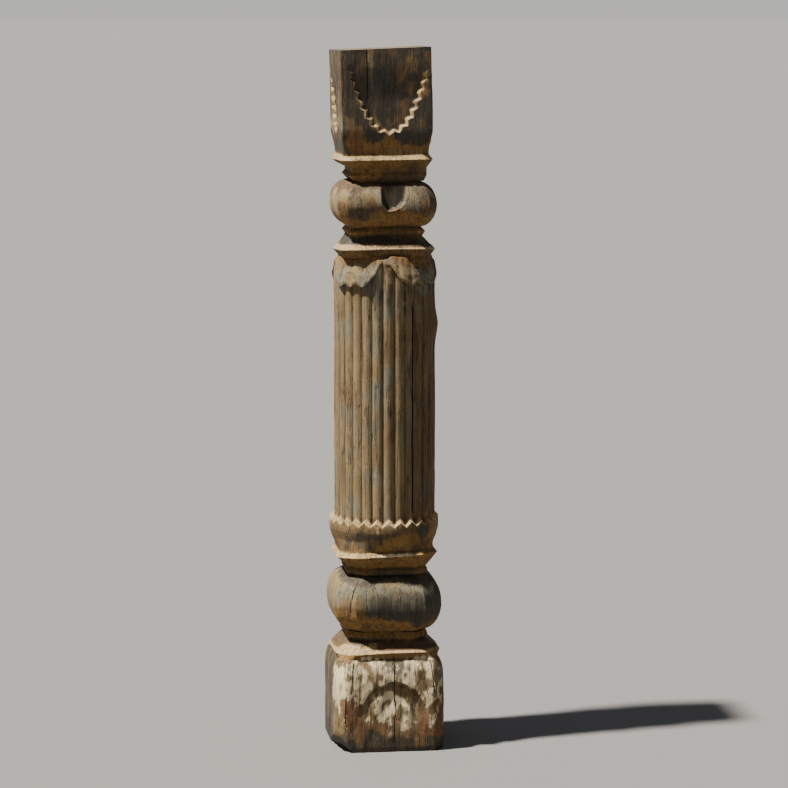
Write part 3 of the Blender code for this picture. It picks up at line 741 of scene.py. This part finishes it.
def draw_to(line, across, height, movable, corners=()):
    """Draw the points beside a line onto it, with one on each of its corners, so that a cut follows it."""
    near, inside = nearest_on_line(np.stack([across, height], axis=-1).reshape(-1, 2), line)
    near, inside = near.reshape(*across.shape, 2), inside.reshape(across.shape)
    drawn = np.zeros(across.shape, dtype=bool)
    for axis in (0, 1):
        low, high = np.moveaxis(inside, axis, 0)[:-1], np.moveaxis(inside, axis, 0)[1:]
        chosen = np.moveaxis(drawn, axis, 0)
        crossed = low * high < 0
        chosen[:-1] |= crossed & (np.abs(low) <= np.abs(high))
        chosen[1:] |= crossed & (np.abs(high) < np.abs(low))
    drawn &= movable
    for corner in corners:
        away = np.hypot(across - corner[0], height - corner[1])
        nearest = np.unravel_index(np.where(drawn, away, 1).argmin(), away.shape)
        if drawn[nearest]:
            near[nearest] = corner
    across = np.where(drawn, near[..., 0], across)
    height = np.where(drawn, near[..., 1], height)
    return across, height, np.where(drawn, 0, inside)


def carve_swags(trunk, first_row):
    """Cut the toothed swag into each face of the head. Its depth fades out at its two ends."""
    line = swag_edge()
    walls = np.zeros(trunk.shape[:2])
    floors = np.zeros(trunk.shape[:2])
    for side in range(4):
        columns = np.where((SIDE == side) & (np.abs(STEP) <= HEAD_FLAT))[0]
        block = trunk[first_row:, columns]
        turn = side * math.pi / 2
        shift = SWAG_SHIFT if side == 0 else 0.0
        x, y = block[..., 0] - lean(block[..., 2]), block[..., 1].copy()
        across = x * math.cos(turn) + y * math.sin(turn) - shift
        out = -x * math.sin(turn) + y * math.cos(turn)
        top_row = np.arange(len(block)) == len(block) - 1
        movable = ~top_row[:, None] & (np.abs(STEP[columns]) < HEAD_FLAT - 1)
        across, height, inside = draw_to(line, across, block[..., 2], movable, line[1:-1])
        share = smooth(height, SWAG_FADE_Z, SWAG_END_Z)
        limit = mix(SWAG_DEPTH, 0, share)
        depth = np.clip(SWAG_WALL_SLOPE * inside, 0, limit)
        out, across = out + depth, across + shift
        block[..., 0] = across * math.cos(turn) - out * math.sin(turn) + lean(height)
        block[..., 1] = across * math.sin(turn) + out * math.cos(turn)
        block[..., 2] = height
        trunk[first_row:, columns] = block
        on_wall = (inside > -SWAG_WALL_MARGIN) & (inside < limit / SWAG_WALL_SLOPE)
        walls[first_row:, columns] = on_wall * (1 - share**2)
        floors[first_row:, columns] = smooth(depth, 0.5 * SWAG_DEPTH, SWAG_DEPTH)
    return walls, floors


def outward(trunk):
    """The direction that each point of the trunk's side faces."""
    around = np.roll(trunk, -1, axis=1) - np.roll(trunk, 1, axis=1)
    up = np.gradient(trunk, axis=0)
    facing = np.cross(around, up)
    return facing / np.maximum(np.linalg.norm(facing, axis=-1, keepdims=True), 1e-12)


def bulge(trunk):
    """How far each point stands out of its neighbours: large on arrises and lips, below 0 in grooves."""
    beside = (np.roll(trunk, -1, axis=1) + np.roll(trunk, 1, axis=1)) / 2
    above = trunk.copy()
    above[1:-1] = (trunk[2:] + trunk[:-2]) / 2
    middle = (beside + above) / 2
    return ((trunk - middle) * outward(trunk)).sum(-1)


def spread(values, rounds=1):
    """Soften values over the neighbouring points."""
    for _ in range(rounds):
        values = (np.roll(values, 1, 1) + 2 * values + np.roll(values, -1, 1)) / 4
        padded = np.pad(values, ((1, 1), (0, 0)), mode="edge")
        values = (padded[:-2] + 2 * values + padded[2:]) / 4
    return values


def carve_notch(trunk):
    """The pointed scoop cut down from the top of the upper cushion's front."""
    columns = np.where((SIDE == 0) & (np.abs(STEP) <= UPPER_FLAT))[0]
    heights = trunk[:, HALF_SIDE, 2]
    low, high = UPPER_CUSHION_Z + NOTCH_FOOT_GAP, NECK_BEAD_Z - NOTCH_TOP_GAP
    rows = np.where((heights > low) & (heights < high))[0]
    block = trunk[rows[0]:rows[-1] + 1, columns]
    across, height, inside = draw_to(np.array(NOTCH_OUTLINE), block[..., 0], block[..., 2], True)
    middle, reach = (UPPER_CUSHION_Z + NECK_BEAD_Z) / 2, (NECK_BEAD_Z - UPPER_CUSHION_Z) / 2
    round_share = np.sqrt(1 - ((height - middle) / reach) ** 2)
    surface = -mix(UPPER_CUSHION_END_HALF, UPPER_CUSHION_HALF, round_share)
    floor = -UPPER_CUSHION_HALF + NOTCH_DEPTH
    cut = np.clip(inside / NOTCH_WALL, 0, 1)
    block[..., 0] = across
    block[..., 1] = np.where(surface < floor, mix(surface, floor, cut), surface)
    block[..., 2] = height
    trunk[rows[0]:rows[-1] + 1, columns] = block
    scoop = np.zeros(trunk.shape[:2])
    scoop[rows[0]:rows[-1] + 1, columns] = cut
    return scoop


def wear_corner(trunk):
    """Take off the foot's front left corner, where it has worn away."""
    reach = FOOT_HALF + WORN_REACH
    x, y, z = np.moveaxis(trunk, -1, 0)
    beyond = 1 - (x + reach) / WORN_ALONG_FRONT - (y + reach) / WORN_ALONG_LEFT
    beyond = np.clip(beyond - (z + WORN_REACH) / WORN_HEIGHT, 0, None)
    pull = np.array([WORN_ALONG_LEFT, WORN_ALONG_FRONT])
    pull = pull / np.linalg.norm(pull)
    slope = pull[0] / WORN_ALONG_FRONT + pull[1] / WORN_ALONG_LEFT
    trunk[..., 0] += beyond / slope * pull[0]
    trunk[..., 1] += beyond / slope * pull[1]


def tilt_lips(trunk):
    """Tilt the lips of the mouldings a little, each by its own measure."""
    across, forward = trunk[..., 0] / TILT_REACH, -trunk[..., 1] / TILT_REACH
    height = trunk[:, HALF_SIDE, 2:3].copy()
    for low, high, to_right, to_front, all_round in LIP_TILTS:
        rise = to_right * across + to_front * forward + all_round
        trunk[..., 2] += rise * between(height, low, high, TILT_SOFT)


def rot_hollow(trunk):
    """The arched hollow that rot left in the front of the foot: deep at its top, nothing at its foot."""
    share = np.linspace(-1, 1, HOLLOW_SAMPLES)
    line = np.stack([HOLLOW_MIDDLE + HOLLOW_HALF_WIDTH * share, share * 0], axis=-1)
    line[:, 1] = HOLLOW_TOP_Z - HOLLOW_DROP * np.abs(share) ** HOLLOW_SQUARENESS
    along = np.stack([line[:, 0], share * 0, share * 0], axis=-1)
    line[:, 1] += HOLLOW_WANDER * rough(along, HOLLOW_LUMPS, 31)
    left_foot, right_foot = [line[0, 0], 0.0], [line[-1, 0], 0.0]
    line = np.concatenate([[right_foot], line[::-1], [left_foot]])

    columns = np.where((SIDE == 0) & (np.abs(STEP) <= FOOT_FLAT))[0]
    heights = trunk[:, HALF_SIDE, 2]
    rows = np.where((heights > FOOT_EASE_Z) & (heights < SHOULDER_Z + HOLLOW_ROOM))[0]
    block = trunk[rows[0]:rows[-1] + 1, columns]
    across, height, inside = draw_to(line, block[..., 0], block[..., 2], True)
    share = np.clip(inside / HOLLOW_WALL, 0, 1)
    block[..., 0] = across
    block[..., 1] += share * HOLLOW_DEPTH * smooth(height, HOLLOW_FOOT_Z, HOLLOW_TOP_Z)
    block[..., 2] = height
    wander = HOLLOW_BAND_WANDER * rough(block, HOLLOW_BAND_LUMPS, 33)
    cut, band = np.zeros(trunk.shape[:2]), np.zeros(trunk.shape[:2])
    cut[rows[0]:rows[-1] + 1, columns] = share
    band[rows[0]:rows[-1] + 1, columns] = share * (1 - smooth(inside + wander, *HOLLOW_BAND_REACH))
    trunk[rows[0]:rows[-1] + 1, columns] = block
    return cut, band


def split(trunk, angle, low, high, depth, wander, seed, slant, columns):
    """A split along the grain, at an angle from the front, with its bottom on one column of points.

    The slant is how many degrees further round its top is than its bottom.
    """
    z = trunk[:, COLUMNS // 8, 2]
    taper = between(z, low, high, min(SPLIT_TAPER, (high - low) / 4))
    drift = wander * rough(np.stack([z * 0, z * 0, z], -1), SPLIT_BEND, seed)
    drift = drift + math.radians(slant) * (z - (low + high) / 2) / (high - low)
    place = ((math.radians(angle) - REED_TURN + drift) / (2 * math.pi) * COLUMNS + HALF_SIDE) % COLUMNS
    nearest = np.round(place).astype(int) % COLUMNS
    rows = np.where(taper > 0)[0]
    mark = np.zeros(trunk.shape[:2])
    for row in rows:
        column = nearest[row]
        part = place[row] - round(place[row])
        beside = (column + (1 if part > 0 else -1)) % COLUMNS
        trunk[row, column] = mix(trunk[row, column], trunk[row, beside], abs(part))
        for step in (-columns, columns):
            here = (column + step) % COLUMNS
            trunk[row, here] = mix(trunk[row, here], trunk[row, column], SPLIT_PULL * taper[row])
        for step in range(1 - columns, columns):
            here = (column + step) % COLUMNS
            inward = trunk[row, here, :2] / np.linalg.norm(trunk[row, here, :2])
            trunk[row, here, :2] -= inward * depth * taper[row] * (1 - abs(step) / columns)
            mark[row, here] = max(mark[row, here], taper[row] * (1 - abs(step) / columns))
    return mark


def carved_trunk():
    """The whole side of the trunk, as rows of points from the floor up, and the marks that carving left."""
    levels = foot_levels() + lower_levels() + cup_levels()
    levels += shaft_levels() + collar_levels() + upper_levels()
    first_head_row = len(levels)
    levels += head_levels()
    trunk = np.stack(levels)
    marks = {}
    marks["swag_wall"], marks["swag_floor"] = carve_swags(trunk, first_head_row)
    marks["notch"] = carve_notch(trunk)
    marks["hollow"], marks["hollow_band"] = rot_hollow(trunk)
    marks["level"] = trunk[..., 2].copy()
    tilt_lips(trunk)
    wear_corner(trunk)
    return trunk, marks


def weather(trunk, marks):
    """Waves, grain, chipped edges and splits, all within the sawn ends."""
    facing = outward(trunk)
    edge = np.clip(spread(bulge(trunk)), 0, None)
    z = trunk[..., 2]
    waves = WAVE_HEIGHT * rough(trunk, WAVE_SIZE, 1)
    grain = GRAIN_HEIGHT * noise(trunk, GRAIN_SIZE, 5)
    chips = smooth(rough(trunk, CHIP_SIZE, 9), 0.25, 0.9)
    toothed = np.clip(2 * spread(marks["swag_wall"], 3) + 2 * spread(marks["notch"], 2), 0, 1)
    worn = edge * (EDGE_WEAR + CHIP_WEAR * chips) * (1 - TEETH_KEPT * toothed)
    foot = 1 - smooth(z, *CRUMBLE_END)
    crumble = CRUMBLE_HEIGHT * rough(trunk, CRUMBLE_SIZE, 17) * foot
    near_top = smooth(z, TOP_Z - STILL_TOP_START, TOP_Z - STILL_TOP_END)
    ends = smooth(z, 0, STILL_FOOT) * (1 - STILL_TOP_SHARE * near_top)
    trunk += facing * ((waves + grain + crumble) * ends - worn)[..., None]
    swell = SWELL_HEIGHT * noise(trunk, SWELL_SIZE, 23)
    trunk[..., 2] += swell * ends * (1 - smooth(z, HEAD_Z, SWAG_FOOT_Z))
    marks["split"] = np.maximum.reduce([split(trunk, *measures) for measures in SPLITS])
    trunk[0, :, 2] = 0.0
    trunk[..., 2] = np.clip(trunk[..., 2], 0, TOP_Z - LIMIT_GAP)
    limit = FOOT_HALF - LIMIT_GAP
    trunk[..., :2] = np.clip(trunk[..., :2], -limit, limit)
    marks["edge"] = smooth(edge, 0.00012, 0.0007)
    # Painted shade: how deep each point lies in a hollow or groove
    marks["dent_shade"] = smooth(-spread(bulge(trunk)), 0.00010, 0.0008)


def patch_masks(angle, z, patch, other):
    """The listed patches of every finish, with borders that wander as the two noises do."""
    masks = {name: np.zeros(z.shape) for name in FINISHES}
    for finish, (start, end), (low, high), strength in PATCHES:
        half_turn, half_rise = (end - start) / 2, (high - low) / 2
        turn = min(0.6 * half_turn, PATCH_TURN)
        rise = min(0.5 * half_rise, PATCH_RISE)
        off = np.abs((angle + turn * other - start - half_turn + 180) % 360 - 180)
        beside = 1 - smooth(off, half_turn - turn, half_turn + turn)
        masks[finish] += strength * beside * between(z + 1.8 * rise * patch, low, high, rise)
    return masks


def painted_ledge_light(angle, z):
    """The painted highlight where light falls on the cup's teeth and on the ledges, and the part of the
    cup's ledge that lies in shade and is painted pale.
    """
    tooth = TOOTH_HEIGHT * (0.5 - GROOVE)
    lit = between(z - tooth, RIM_Z - LEDGE_SOFT, SHAFT_Z + LEDGE_MARGIN, LEDGE_SOFT)
    lit += between(z, HEAD_EDGE_Z - LEDGE_MARGIN, HEAD_Z, LEDGE_SOFT)
    narrowed = LEDGE_NARROWING * smooth(angle, *NARROWING_ARC)
    lit += between(z, COLLAR_EDGE_Z - LEDGE_MARGIN, COLLAR_FLARE_Z - 0.003 - narrowed, LEDGE_SOFT)
    lit += between(z, FOOT_EDGE_Z - LEDGE_MARGIN, FOOT_EDGE_Z + 0.005, LEDGE_SOFT)
    cup_ledge = between(z, CUP_EDGE_Z - LEDGE_MARGIN, CUP_Z - 0.8 * narrowed, LEDGE_SOFT)
    cup_ledge = cup_ledge * (1 - between(angle, *CUP_DULL_ARC, 4))
    cup_shade = cup_ledge * between(angle, *CUP_SHADE_ARC, 4)
    lit += cup_ledge - cup_shade
    return lit, cup_shade


def paint(trunk, marks):
    """How strongly each finish of the old wood, and each painted highlight and shade, shows at each point,
    from 0 to 1.
    """
    x, y, z = trunk[..., 0], trunk[..., 1], marks["level"]
    angle = np.degrees(np.arctan2(x, -y))
    patch = rough(trunk, (0.040, 0.040, 0.050), 41, 4)
    other = rough(trunk, (0.050, 0.050, 0.070), 47, 4)
    streak = rough(trunk, (0.016, 0.016, 0.160), 43)
    fine = rough(trunk, (0.012, 0.012, 0.020), 45)
    masks = patch_masks(angle, z, patch, other)
    lit, cup_shade = painted_ledge_light(angle, z)
    shaft = between(z, SHAFT_Z, COLLAR_Z, 0.01)
    foot = 1 - smooth(z, FOOT_LIP_Z - 0.005, FOOT_LIP_Z)
    head = smooth(z, HEAD_Z, SWAG_FOOT_Z)

    # Painted highlight on the swag's walls where light falls, fainter on the front's left branch, whose
    # walls face away from it
    swag = marks["swag_wall"] * (1 - 0.6 * smooth(-x, 0.035, 0.075) * (y < 0))
    # Painted highlights on the ledges and the swag's walls; the worn arrises are paler wood and are also
    # painted as catching the light
    masks["lit"] += lit * (0.90 + 0.35 * patch) + swag + 0.3 * marks["edge"] * (1 + patch)
    # Darker splits and a darker head, and painted shade in the notch's scoop
    masks["soot_and_shade"] += 1.6 * marks["split"] + 0.75 * marks["notch"] + head * 0.40 * fine
    # The painted highlights clear the dark layer under them
    masks["soot_and_shade"] -= 1.5 * swag + lit + cup_shade + 0.3 * marks["edge"] * (1 - foot)
    # Soot streaks on the shaft, and painted shade in its grooves
    masks["soot_and_shade"] += shaft * (0.40 * smooth(streak, 0.1, 0.9) + 0.06 * marks["dent_shade"] - 0.15)
    masks["soot_and_shade"] += shaft * 0.30 * smooth(fine, 0.2, 1.1)
    masks["rust"] += head * (0.45 * smooth(other, 0.1, 0.8) + 0.2 * marks["swag_floor"])
    # Less bare wood in the hollows and grooves, as painted shade
    masks["bare"] += 0.20 * shaft * other - 0.3 * marks["dent_shade"]
    masks["grey"] += 0.35 + 0.5 * patch
    # The part of the cup's ledge in shade is painted pale, as a painted highlight
    masks["pale"] += foot * (0.60 * fine + 0.25 * other - 0.08) - marks["split"] + 2.2 * cup_shade
    masks["pale"] += 0.62 * marks["hollow"] * (1 - marks["hollow_band"]) - 0.8 * marks["hollow_band"]
    masks["rust"] += 0.35 * marks["hollow_band"] + foot * (0.40 * smooth(patch, 0.15, 0.8) - 0.35 * fine)
    masks["soot_and_shade"] += foot * (0.45 * smooth(fine, 0.3, 1.0) - 0.25 * marks["hollow_band"])
    # Painted shade in the hollows and grooves
    masks["dent_shade"] += marks["dent_shade"]
    return {name: np.clip(mask, 0, 1) for name, mask in masks.items()}


def select_faces(mesh, chosen):
    for face in mesh.polygons:
        face.select = chosen(face)


def turn_blank(rows):
    """A cylinder of wood, divided into the rows that the carving needs, with rings on both ends."""
    bpy.ops.object.select_all(action="DESELECT")
    bpy.ops.mesh.primitive_cylinder_add(
        vertices=COLUMNS, radius=FOOT_HALF, depth=TOP_Z, location=(0, 0, TOP_Z / 2), end_fill_type="NGON"
    )
    blank = bpy.context.object
    blank.name = "carved_trunk"
    bpy.ops.object.transform_apply(location=True, rotation=True, scale=True)
    bpy.ops.object.mode_set(mode="EDIT")
    bpy.ops.mesh.select_mode(type="EDGE")
    bpy.ops.mesh.select_all(action="DESELECT")
    bpy.ops.object.mode_set(mode="OBJECT")
    for edge in blank.data.edges:
        low, high = (blank.data.vertices[i].co.z for i in edge.vertices)
        edge.select = abs(high - low) > TOP_Z / 2
    bpy.ops.object.mode_set(mode="EDIT")
    bpy.ops.mesh.subdivide_edgering(number_cuts=rows - 2, interpolation="LINEAR")
    bpy.ops.mesh.select_mode(type="FACE")
    for up in (-1, 1):
        bpy.ops.mesh.select_all(action="DESELECT")
        bpy.ops.object.mode_set(mode="OBJECT")
        select_faces(blank.data, lambda face: face.normal.z * up > END_FACING)
        bpy.ops.object.mode_set(mode="EDIT")
        for _ in range(END_RINGS):
            bpy.ops.mesh.inset(thickness=END_INSET)
        bpy.ops.mesh.poke()
    bpy.ops.object.mode_set(mode="OBJECT")
    return blank


def places_on_blank(blank, rows):
    """Each point's row and column, and how far out from the middle it is: 1 at the side."""
    co = np.empty(len(blank.data.vertices) * 3)
    blank.data.vertices.foreach_get("co", co)
    co = co.reshape(-1, 3)
    radius = np.hypot(co[:, 0], co[:, 1])
    angle = np.arctan2(co[:, 0], -co[:, 1]) / (2 * math.pi) * COLUMNS
    column = np.round(angle + HALF_SIDE).astype(int) % COLUMNS
    row = np.round(co[:, 2] / TOP_Z * (rows - 1)).astype(int)
    return row, column, radius / FOOT_HALF


def carve(blank, trunk, row, column, share):
    """Move every point of the blank to its place on the carved trunk."""
    side = trunk[row, column]
    middle = trunk.mean(axis=1)[row]
    placed = middle + (side - middle) * share[:, None]
    blank.data.vertices.foreach_set("co", placed.ravel())
    blank.data.update()


def shade(piece):
    bpy.ops.object.select_all(action="DESELECT")
    piece.select_set(True)
    bpy.context.view_layer.objects.active = piece
    bpy.ops.object.shade_smooth_by_angle(angle=SMOOTH_ANGLE)


def plain_material(name, colour, roughness):
    material = bpy.data.materials.new(name)
    material.use_nodes = True
    shader = material.node_tree.nodes["Principled BSDF"]
    shader.inputs["Base Color"].default_value = (*colour, 1.0)
    shader.inputs["Roughness"].default_value = roughness
    return material


def put(tree, kind, inputs, **settings):
    """Add a shader node, and set or link each of its inputs."""
    made = tree.nodes.new(kind)
    for name, value in settings.items():
        setattr(made, name, value)
    for socket, value in inputs.items():
        if isinstance(value, bpy.types.NodeSocket):
            tree.links.new(value, made.inputs[socket])
        else:
            made.inputs[socket].default_value = value
    return made


def maths(tree, operation, *values):
    return put(tree, "ShaderNodeMath", dict(enumerate(values)), operation=operation).outputs[0]


def wood_noise(tree, place, stretch, detail=4.0, roughness=0.6):
    """Noise from about 0 to 1, with so many lumps to the metre across and along the grain."""
    scaled = put(tree, "ShaderNodeMapping", {"Vector": place, "Scale": stretch}).outputs[0]
    inputs = {"Vector": scaled, "Scale": 1.0, "Detail": detail, "Roughness": roughness}
    return put(tree, "ShaderNodeTexNoise", inputs).outputs["Fac"]


def ragged(tree, mask, breakup, strength, edge):
    """A painted mask whose borders are broken up by noise."""
    shifted = maths(tree, "MULTIPLY_ADD", maths(tree, "SUBTRACT", breakup, 0.5), strength, mask)
    ends = {"Value": shifted, "From Min": 0.5 - edge, "From Max": 0.5 + edge}
    return put(tree, "ShaderNodeMapRange", ends, interpolation_type="SMOOTHSTEP").outputs[0]


def ramp(tree, value, low, high):
    """0 below the low value, 1 above the high one, and an even rise between them."""
    return put(tree, "ShaderNodeMapRange", {"Value": value, "From Min": low, "From Max": high}).outputs[0]


def laid_over(tree, under, over, mask):
    inputs = {"Factor": mask, 6: under, 7: over}
    return put(tree, "ShaderNodeMix", inputs, data_type="RGBA").outputs[2]


def old_wood():
    """Dark brown wood that has worn to bare grey-tan and cream, with soot, ochre and rust over it, and with
    highlights and shade painted in.
    """
    material = bpy.data.materials.new("old_wood")
    material.use_nodes = True
    tree = material.node_tree
    shader = tree.nodes["Principled BSDF"]
    place = put(tree, "ShaderNodeTexCoord", {}).outputs["Object"]
    painted = {}
    for name in FINISHES:
        painted[name] = put(tree, "ShaderNodeAttribute", {}, attribute_name=name).outputs["Fac"]

    blotch = wood_noise(tree, place, (22, 22, 14))
    figure = wood_noise(tree, place, (90, 90, 7), 5.0)
    fibre = wood_noise(tree, place, (420, 420, 22), 3.0)
    speck = wood_noise(tree, place, (260, 260, 200), 2.0)
    mixed = maths(tree, "MULTIPLY_ADD", figure, 0.6, maths(tree, "MULTIPLY", blotch, 0.4))
    lumps = wood_noise(tree, place, (110, 110, 45), 6.0, 0.75)
    crumbs = maths(tree, "MULTIPLY_ADD", lumps, 0.6, maths(tree, "MULTIPLY", figure, 0.4))

    colour = laid_over(tree, (0.070, 0.040, 0.016, 1), (0.135, 0.080, 0.032, 1), figure)
    # Ochre, and the warm painted shade on the undersides
    ochre_and_warm_shade = laid_over(tree, (0.110, 0.056, 0.014, 1), (0.260, 0.140, 0.038, 1), mixed)
    colour = laid_over(tree, colour, ochre_and_warm_shade, ragged(tree, painted["ochre_and_warm_shade"], mixed, 2.0, 0.35))
    tan = laid_over(tree, (0.070, 0.048, 0.022, 1), (0.250, 0.182, 0.090, 1), crumbs)
    grey = laid_over(tree, (0.055, 0.052, 0.038, 1), (0.190, 0.175, 0.122, 1), crumbs)
    bare = laid_over(tree, tan, grey, ragged(tree, painted["grey"], mixed, 2.0, 0.30))
    colour = laid_over(tree, colour, bare, ragged(tree, painted["bare"], mixed, 2.0, 0.35))
    rust = laid_over(tree, (0.060, 0.029, 0.011, 1), (0.190, 0.098, 0.040, 1), mixed)
    colour = laid_over(tree, colour, rust, ragged(tree, painted["rust"], crumbs, 2.2, 0.26))
    cream = laid_over(tree, (0.300, 0.225, 0.130, 1), (0.780, 0.660, 0.420, 1), crumbs)
    colour = laid_over(tree, colour, cream, ragged(tree, painted["pale"], crumbs, 2.6, 0.26))
    # Soot, and the painted shade on shadowed tops, flares, undersides, recesses and the right side
    soot_and_shade = laid_over(tree, (0.018, 0.016, 0.013, 1), (0.056, 0.043, 0.026, 1), figure)
    colour = laid_over(tree, colour, soot_and_shade, ragged(tree, painted["soot_and_shade"], mixed, 2.0, 0.32))
    # The lit copy of the wood: a painted highlight where light falls
    lit = laid_over(tree, (0.190, 0.125, 0.058, 1), (0.400, 0.290, 0.150, 1), mixed)
    colour = laid_over(tree, colour, lit, ragged(tree, painted["lit"], mixed, 1.4, 0.28))

    wavering = wood_noise(tree, place, (46, 46, 3.2), 3.0)
    checks = ramp(tree, maths(tree, "ABSOLUTE", maths(tree, "SUBTRACT", wavering, 0.5)), 0.004, 0.020)
    spots = ramp(tree, speck, 0.32, 0.44)
    # Darker with the fibres, checks and specks, and painted shade in the hollows and grooves
    grain_and_crease_shade = maths(tree, "MULTIPLY_ADD", fibre, 0.5, 0.75)
    for mark, strength, least in ((checks, 0.45, 0.55), (painted["dent_shade"], -0.40, 1.0), (spots, 0.35, 0.65)):
        grain_and_crease_shade = maths(tree, "MULTIPLY", grain_and_crease_shade, maths(tree, "MULTIPLY_ADD", mark, strength, least))
    deep = put(tree, "ShaderNodeVectorMath", {0: colour, "Scale": grain_and_crease_shade}, operation="SCALE").outputs[0]
    tree.links.new(deep, shader.inputs["Base Color"])

    height = maths(tree, "MULTIPLY_ADD", figure, 1.2, maths(tree, "MULTIPLY", fibre, 0.5))
    pits = maths(tree, "MULTIPLY_ADD", speck, 0.35, maths(tree, "MULTIPLY", checks, 0.8))
    height = maths(tree, "ADD", height, pits)
    bump = put(tree, "ShaderNodeBump", {"Height": height, "Strength": 0.7, "Distance": 0.0016})
    tree.links.new(bump.outputs[0], shader.inputs["Normal"])
    dry = maths(tree, "MULTIPLY_ADD", fibre, 0.15, 0.78)
    tree.links.new(maths(tree, "MULTIPLY_ADD", painted["soot_and_shade"], -0.22, dry), shader.inputs["Roughness"])
    shader.inputs["Specular IOR Level"].default_value = 0.3
    return material


def keep_masks(blank, masks, row, column, rim):
    """Store each painted mask on the mesh. The sawn ends are bare and dirty wood."""
    for name, mask in masks.items():
        values = np.where(rim, mask[row, column], SAWN_END.get(name, 0.0))
        layer = blank.data.attributes.new(name, "FLOAT", "POINT")
        layer.data.foreach_set("value", values.astype(np.float32))


def add_trunk():
    trunk, marks = carved_trunk()
    weather(trunk, marks)
    masks = paint(trunk, marks)
    blank = turn_blank(len(trunk))
    row, column, share = places_on_blank(blank, len(trunk))
    carve(blank, trunk, row, column, share)
    keep_masks(blank, masks, row, column, share > SIDE_SHARE)
    shade(blank)
    blank.data.materials.append(old_wood())
    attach(blank, "root")
    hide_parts("pillar")
    return blank


def add_floor():
    bpy.ops.object.select_all(action="DESELECT")
    bpy.ops.mesh.primitive_plane_add(size=FLOOR_SIZE, location=(0, 0, 0))
    floor = bpy.context.object
    floor.name = "floor"
    floor.data.materials.append(plain_material("pale_floor", (FLOOR_GREY,) * 3, FLOOR_ROUGHNESS))


def add_lights():
    """A sun-like key from high on the left, and a dim studio that is pale at floor level only."""
    world = bpy.data.worlds.new("studio")
    world.use_nodes = True
    tree = world.node_tree
    direction = put(tree, "ShaderNodeTexCoord", {}).outputs["Generated"]
    height = put(tree, "ShaderNodeSeparateXYZ", {"Vector": direction}).outputs["Z"]
    colour = laid_over(tree, STUDIO_LOW, STUDIO_HIGH, ramp(tree, height, 0.0, STUDIO_RISE))
    background = tree.nodes["Background"]
    tree.links.new(colour, background.inputs["Color"])
    background.inputs["Strength"].default_value = 1.0
    bpy.context.scene.world = world
    bpy.ops.object.light_add(type="SUN")
    key = bpy.context.object
    key.name = "key_light"
    key.data.energy = KEY_ENERGY
    key.data.angle = KEY_SOFTNESS
    key.data.color = KEY_COLOUR
    key.rotation_euler = (math.pi / 2 - KEY_ELEVATION, 0, KEY_AZIMUTH)


def add_camera():
    bpy.ops.object.camera_add()
    camera = bpy.context.object
    x = CAMERA_DISTANCE * math.sin(CAMERA_AZIMUTH)
    y = -CAMERA_DISTANCE * math.cos(CAMERA_AZIMUTH)
    camera.location = (x, y, CAMERA_HEIGHT)
    camera.rotation_euler = (math.pi / 2 - CAMERA_PITCH, 0, CAMERA_AZIMUTH + CAMERA_SWING)
    camera.data.lens = CAMERA_LENS
    camera.data.sensor_width = CAMERA_SENSOR
    bpy.context.scene.camera = camera


add_trunk()
add_floor()
add_lights()
add_camera()
